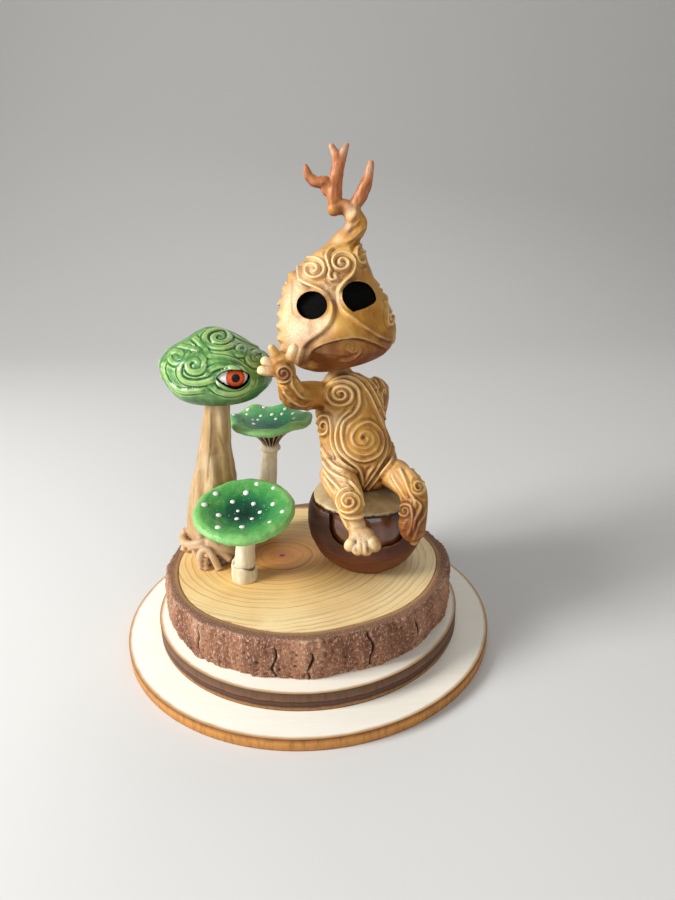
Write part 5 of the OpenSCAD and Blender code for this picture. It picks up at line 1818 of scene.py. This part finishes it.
funnel = reskin(copy_of("funnel", "funnel_toadstool_cap"), voxel=0.3, swell=0)
soften(funnel, 20)
points = points_of(funnel)
across, along = (points[:, :2] - FUNNEL_AXIS).T
points[:, 2] += 0.55 * np.sin(6 * np.arctan2(along, across) + 1.1) * smoothstep(8, 14, np.hypot(across, along))
place_points(funnel, points)
uneven(funnel, 6, 0.3)
reach_across(funnel, (*FUNNEL_AXIS, FUNNEL_Z), 0, FUNNEL_RADIUS)
store(funnel, "hollow", hollows(funnel, 14, 0.2))
dress(funnel, funnel_varnish, "stand", "cap_green", "funnel_toadstool_cap")

# %% [markdown]
# ## Paint spots
# The white spots are thick drops of paint that stand on the varnish. Painted in the material they would look
# printed, so they are little domes: one drop is modelled, and a copy sits wherever the picture shows one, in its
# own size and turned to the slope below it.

# %% Spots
DISH_SPOTS = [
    (234.5, 480, 0.8), (257, 484, 0.8), (273.3, 488, 0.65), (246, 492.8, 0.95), (216, 493.7, 0.95),
    (204.6, 504.7, 1.0), (232.7, 501.8, 0.8), (253.6, 503.8, 0.75), (272.9, 504.2, 0.75), (238, 511, 0.55),
    (260, 512.2, 0.7), (282.4, 511.6, 0.75), (218.8, 515.2, 0.9), (236.9, 518.8, 0.75), (252, 518.8, 0.65),
    (269.8, 522, 0.65), (218.2, 527.6, 1.0), (242.2, 527, 0.9)]
FUNNEL_SPOTS = [
    (234, 415, 0.65), (248, 409.5, 0.7), (247, 414.5, 0.6), (264, 407.5, 0.7), (285, 409, 0.7), (261, 416, 0.6),
    (272, 414.5, 0.7), (282, 414, 0.65), (293, 413.5, 0.7), (258, 420, 0.6), (254, 424, 0.65), (253, 420, 0.55),
    (276, 419, 0.65), (294, 418.5, 0.65)]


def paint_spots(name, cap, places):
    """Domes of thick paint on a cap: one drop is modelled, and a copy is set at each pixel in its own size."""
    bpy.ops.object.select_all(action="DESELECT")
    bpy.ops.mesh.primitive_uv_sphere_add(segments=16, ring_count=10, radius=MM)
    drop = bpy.context.object
    bpy.ops.transform.resize(value=(1, 1, 0.5))
    bpy.ops.object.transform_apply(scale=True)
    tree = skin_tree(cap)
    matrices = []
    for x, y, size in places:
        hit, normal, _, _ = tree.ray_cast(*picture_ray((x, y)))
        if hit:
            turn = normal.to_track_quat("Z", "Y").to_matrix().to_4x4()
            matrices.append(Matrix.Translation(hit) @ turn @ Matrix.Scale(size, 4))
    return repeated(name, drop, matrices)


spot_white, tree, shader = start_material("spot_white", 0.35, Coat_Weight=0.3)
chalk = cloudy(tree, object_place(tree), 1400, 3)
paint(tree, shader, ramp(tree, chalk, [(0.3, "e4e6dd"), (0.6, "f6f7f2")]))
bump(tree, shader, chalk, 0.05)
for name, cap, places in (("dish_spots", dish, DISH_SPOTS), ("funnel_spots", funnel, FUNNEL_SPOTS)):
    dress(paint_spots(name, cap, places), spot_white, "stand", "eye_white")

# %% [markdown]
# ## Stems of the spotted toadstools
# The small stems are cream, with a collar under the funnel and a torn skin round the foot of the dish's stem.
# Stem and collar are reskinned together, as they are one lump of clay. The torn rim could be cut, but it only has to
# rise and fall, so its points are moved up and down by waves that run round the stem.

# %% Cream stems
stem_cream, tree, shader = start_material("stem_cream", 0.5)
fibres = cloudy(tree, stretched_place(tree, (700, 700, 60)), 1, 4, 0.6)
mottle = cloudy(tree, object_place(tree), 140, 3)
cream = ramp(tree, fibres, [(0.28, "cdbb97"), (0.5, "dfd3b6"), (0.7, "ece3cd")])
cream = tinted(tree, cream, mottle, 0.52, 0.72, 0.3, "bfa678")
cream = tinted(tree, cream, attribute(tree, "hollow"), 0.15, 0.85, 1, "7d5f35")
paint(tree, shader, cream)
bump(tree, shader, fibres, 0.04)


def cream_stem(name, *nodes):
    stem = reskin(copy_of(name, *nodes), voxel=0.28, swell=0.1)
    soften(stem, 24)
    uneven(stem, 3, 0.16)
    dress(stem, stem_cream, "stand", "stem_cream", *nodes)
    return stem


def tear_skin(piece, node):
    """Draws the torn skin round a stem's foot in, and lets its rim rise and fall."""
    low, high = (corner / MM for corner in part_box(node))
    middle = np.array((low + high) / 2)
    points = points_of(piece)
    spoke = points[:, :2] - middle[:2]
    out = np.linalg.norm(spoke, axis=1)
    around = np.arctan2(spoke[:, 1], spoke[:, 0])
    in_skin = smoothstep(high.z + 0.9, high.z + 0.2, points[:, 2]) * smoothstep(3.2, 3.7, out)
    points[:, :2] -= spoke * (0.5 * in_skin / out)[:, None]
    tear = 0.8 * np.cos(around - 2.6) + 0.4 * np.sin(3 * around)
    points[:, 2] += tear * in_skin * smoothstep(high.z - 4, high.z - 0.5, points[:, 2])
    place_points(piece, points)


funnel_stem = cream_stem("funnel_stem", "funnel_toadstool_stem", "funnel_toadstool_collar")
dish_stem = cream_stem("dish_stem", "dish_toadstool_stem", "dish_toadstool_volva")
tear_skin(dish_stem, "dish_toadstool_volva")
for stem in (funnel_stem, dish_stem):
    store(stem, "hollow", hollows(stem, 10, 0.22))

# %% [markdown]
# ## Gills
# The gills are thin ribs between dark gaps. One rib is modelled from a cube that is drawn in towards the stem,
# then turned round the stem once for each gill. A dark cone behind the ribs fills the gaps with painted shade, which
# is simpler than cutting slits into a solid and looks the same.

# %% Gills
gill_shade, tree, shader = start_material("gill_shade", 0.8)
gill_mottle = cloudy(tree, object_place(tree), 900, 3)
paint(tree, shader, ramp(tree, gill_mottle, [(0.3, "17120e"), (0.7, "2b211a")]))
gill_pale, tree, shader = start_material("gill_pale", 0.6)
gill_mottle = cloudy(tree, object_place(tree), 700, 3)
paint(tree, shader, ramp(tree, gill_mottle, [(0.3, "a08d70"), (0.7, "d3c6ab")]))


def gills(name, node, middle, tilt, low, high, radii, count):
    """A dark cone of painted shade and pale ribs round it, in the cap's own tilted frame, as one pair of pieces."""
    settle = Matrix.Translation(Vector(middle) * MM) @ Matrix.Rotation(tilt, 4, "X")
    bpy.ops.object.select_all(action="DESELECT")
    bpy.ops.mesh.primitive_cone_add(
        vertices=64, radius1=(radii[0] - 0.5) * MM, radius2=(radii[1] - 0.9) * MM, depth=(high - low) * MM,
        location=(0, 0, (low + high) / 2 * MM))
    core = bpy.context.object
    core.name = name + "_core"
    bpy.ops.object.transform_apply(location=True)
    finish_modifier(core, "BEVEL", width=0.1 * MM, segments=2, limit_method="ANGLE")
    core.data.transform(settle)
    dress(core, gill_shade, "stand", "gills")
    bpy.ops.object.select_all(action="DESELECT")
    bpy.ops.mesh.primitive_cube_add(size=1)
    rib = bpy.context.object
    bpy.ops.object.mode_set(mode="EDIT")
    bpy.ops.mesh.subdivide(number_cuts=5)
    bpy.ops.object.mode_set(mode="OBJECT")
    for v in rib.data.vertices:
        up = v.co.z + 0.5
        outer = radii[0] + (radii[1] - radii[0]) * up**1.5
        thick = (0.26 + 0.1 * up) * (1 - 0.5 * (v.co.x + 0.5))
        inwards = (0.5 - v.co.x) * (1.1 + 0.9 * up)
        v.co = Vector((outer - inwards, v.co.y * 2 * thick, low + (high - low) * up)) * MM
    turns = [settle @ Matrix.Rotation(2 * math.pi * k / count, 4, "Z") for k in range(count)]
    dress(repeated(name + "_ribs", rib, turns), gill_pale, "stand", "gills", node)


gills("funnel_gills", "funnel_toadstool_gills", (*FUNNEL_AXIS, 23.5), 0, 33.7, 38.6, (2.8, 6.9), 20)
gills("dish_gills", "dish_toadstool_gills", DISH_MIDDLE, DISH_TILT, -8.7, -5.0, (3.4, 9.7), 26)

# %% [markdown]
# ## Pins and peg
# Steel pins hold the stems, limbs and antlers, and a wooden peg carries the head. They are inside, so they keep
# their CAD solids and only need an honest material: drawn wire with fine scratches, and plain wood.

# %% Hidden metal and wood
pin_steel, tree, shader = start_material("pin_steel", 0.35, Metallic=1.0)
scratches = cloudy(tree, stretched_place(tree, (1800, 1800, 200)), 1, 3)
paint(tree, shader, ramp(tree, scratches, [(0.3, "8d9094"), (0.7, "b5b8bb")]))
bump(tree, shader, scratches, 0.02)
peg_wood, tree, shader = start_material("peg_wood", 0.6)
grain = cloudy(tree, stretched_place(tree, (1400, 1400, 120)), 1, 4)
paint(tree, shader, ramp(tree, grain, [(0.3, "9c6f3e"), (0.7, "c79a61")]))
bump(tree, shader, grain, 0.05)
for name, node in frame["nodes"].items():
    if name.endswith(("_pin", "_pins")) or name == "neck_peg":
        node.data.materials.clear()
        node.data.materials.append(peg_wood if name == "neck_peg" else pin_steel)
        print(name, "keeps its CAD solid")
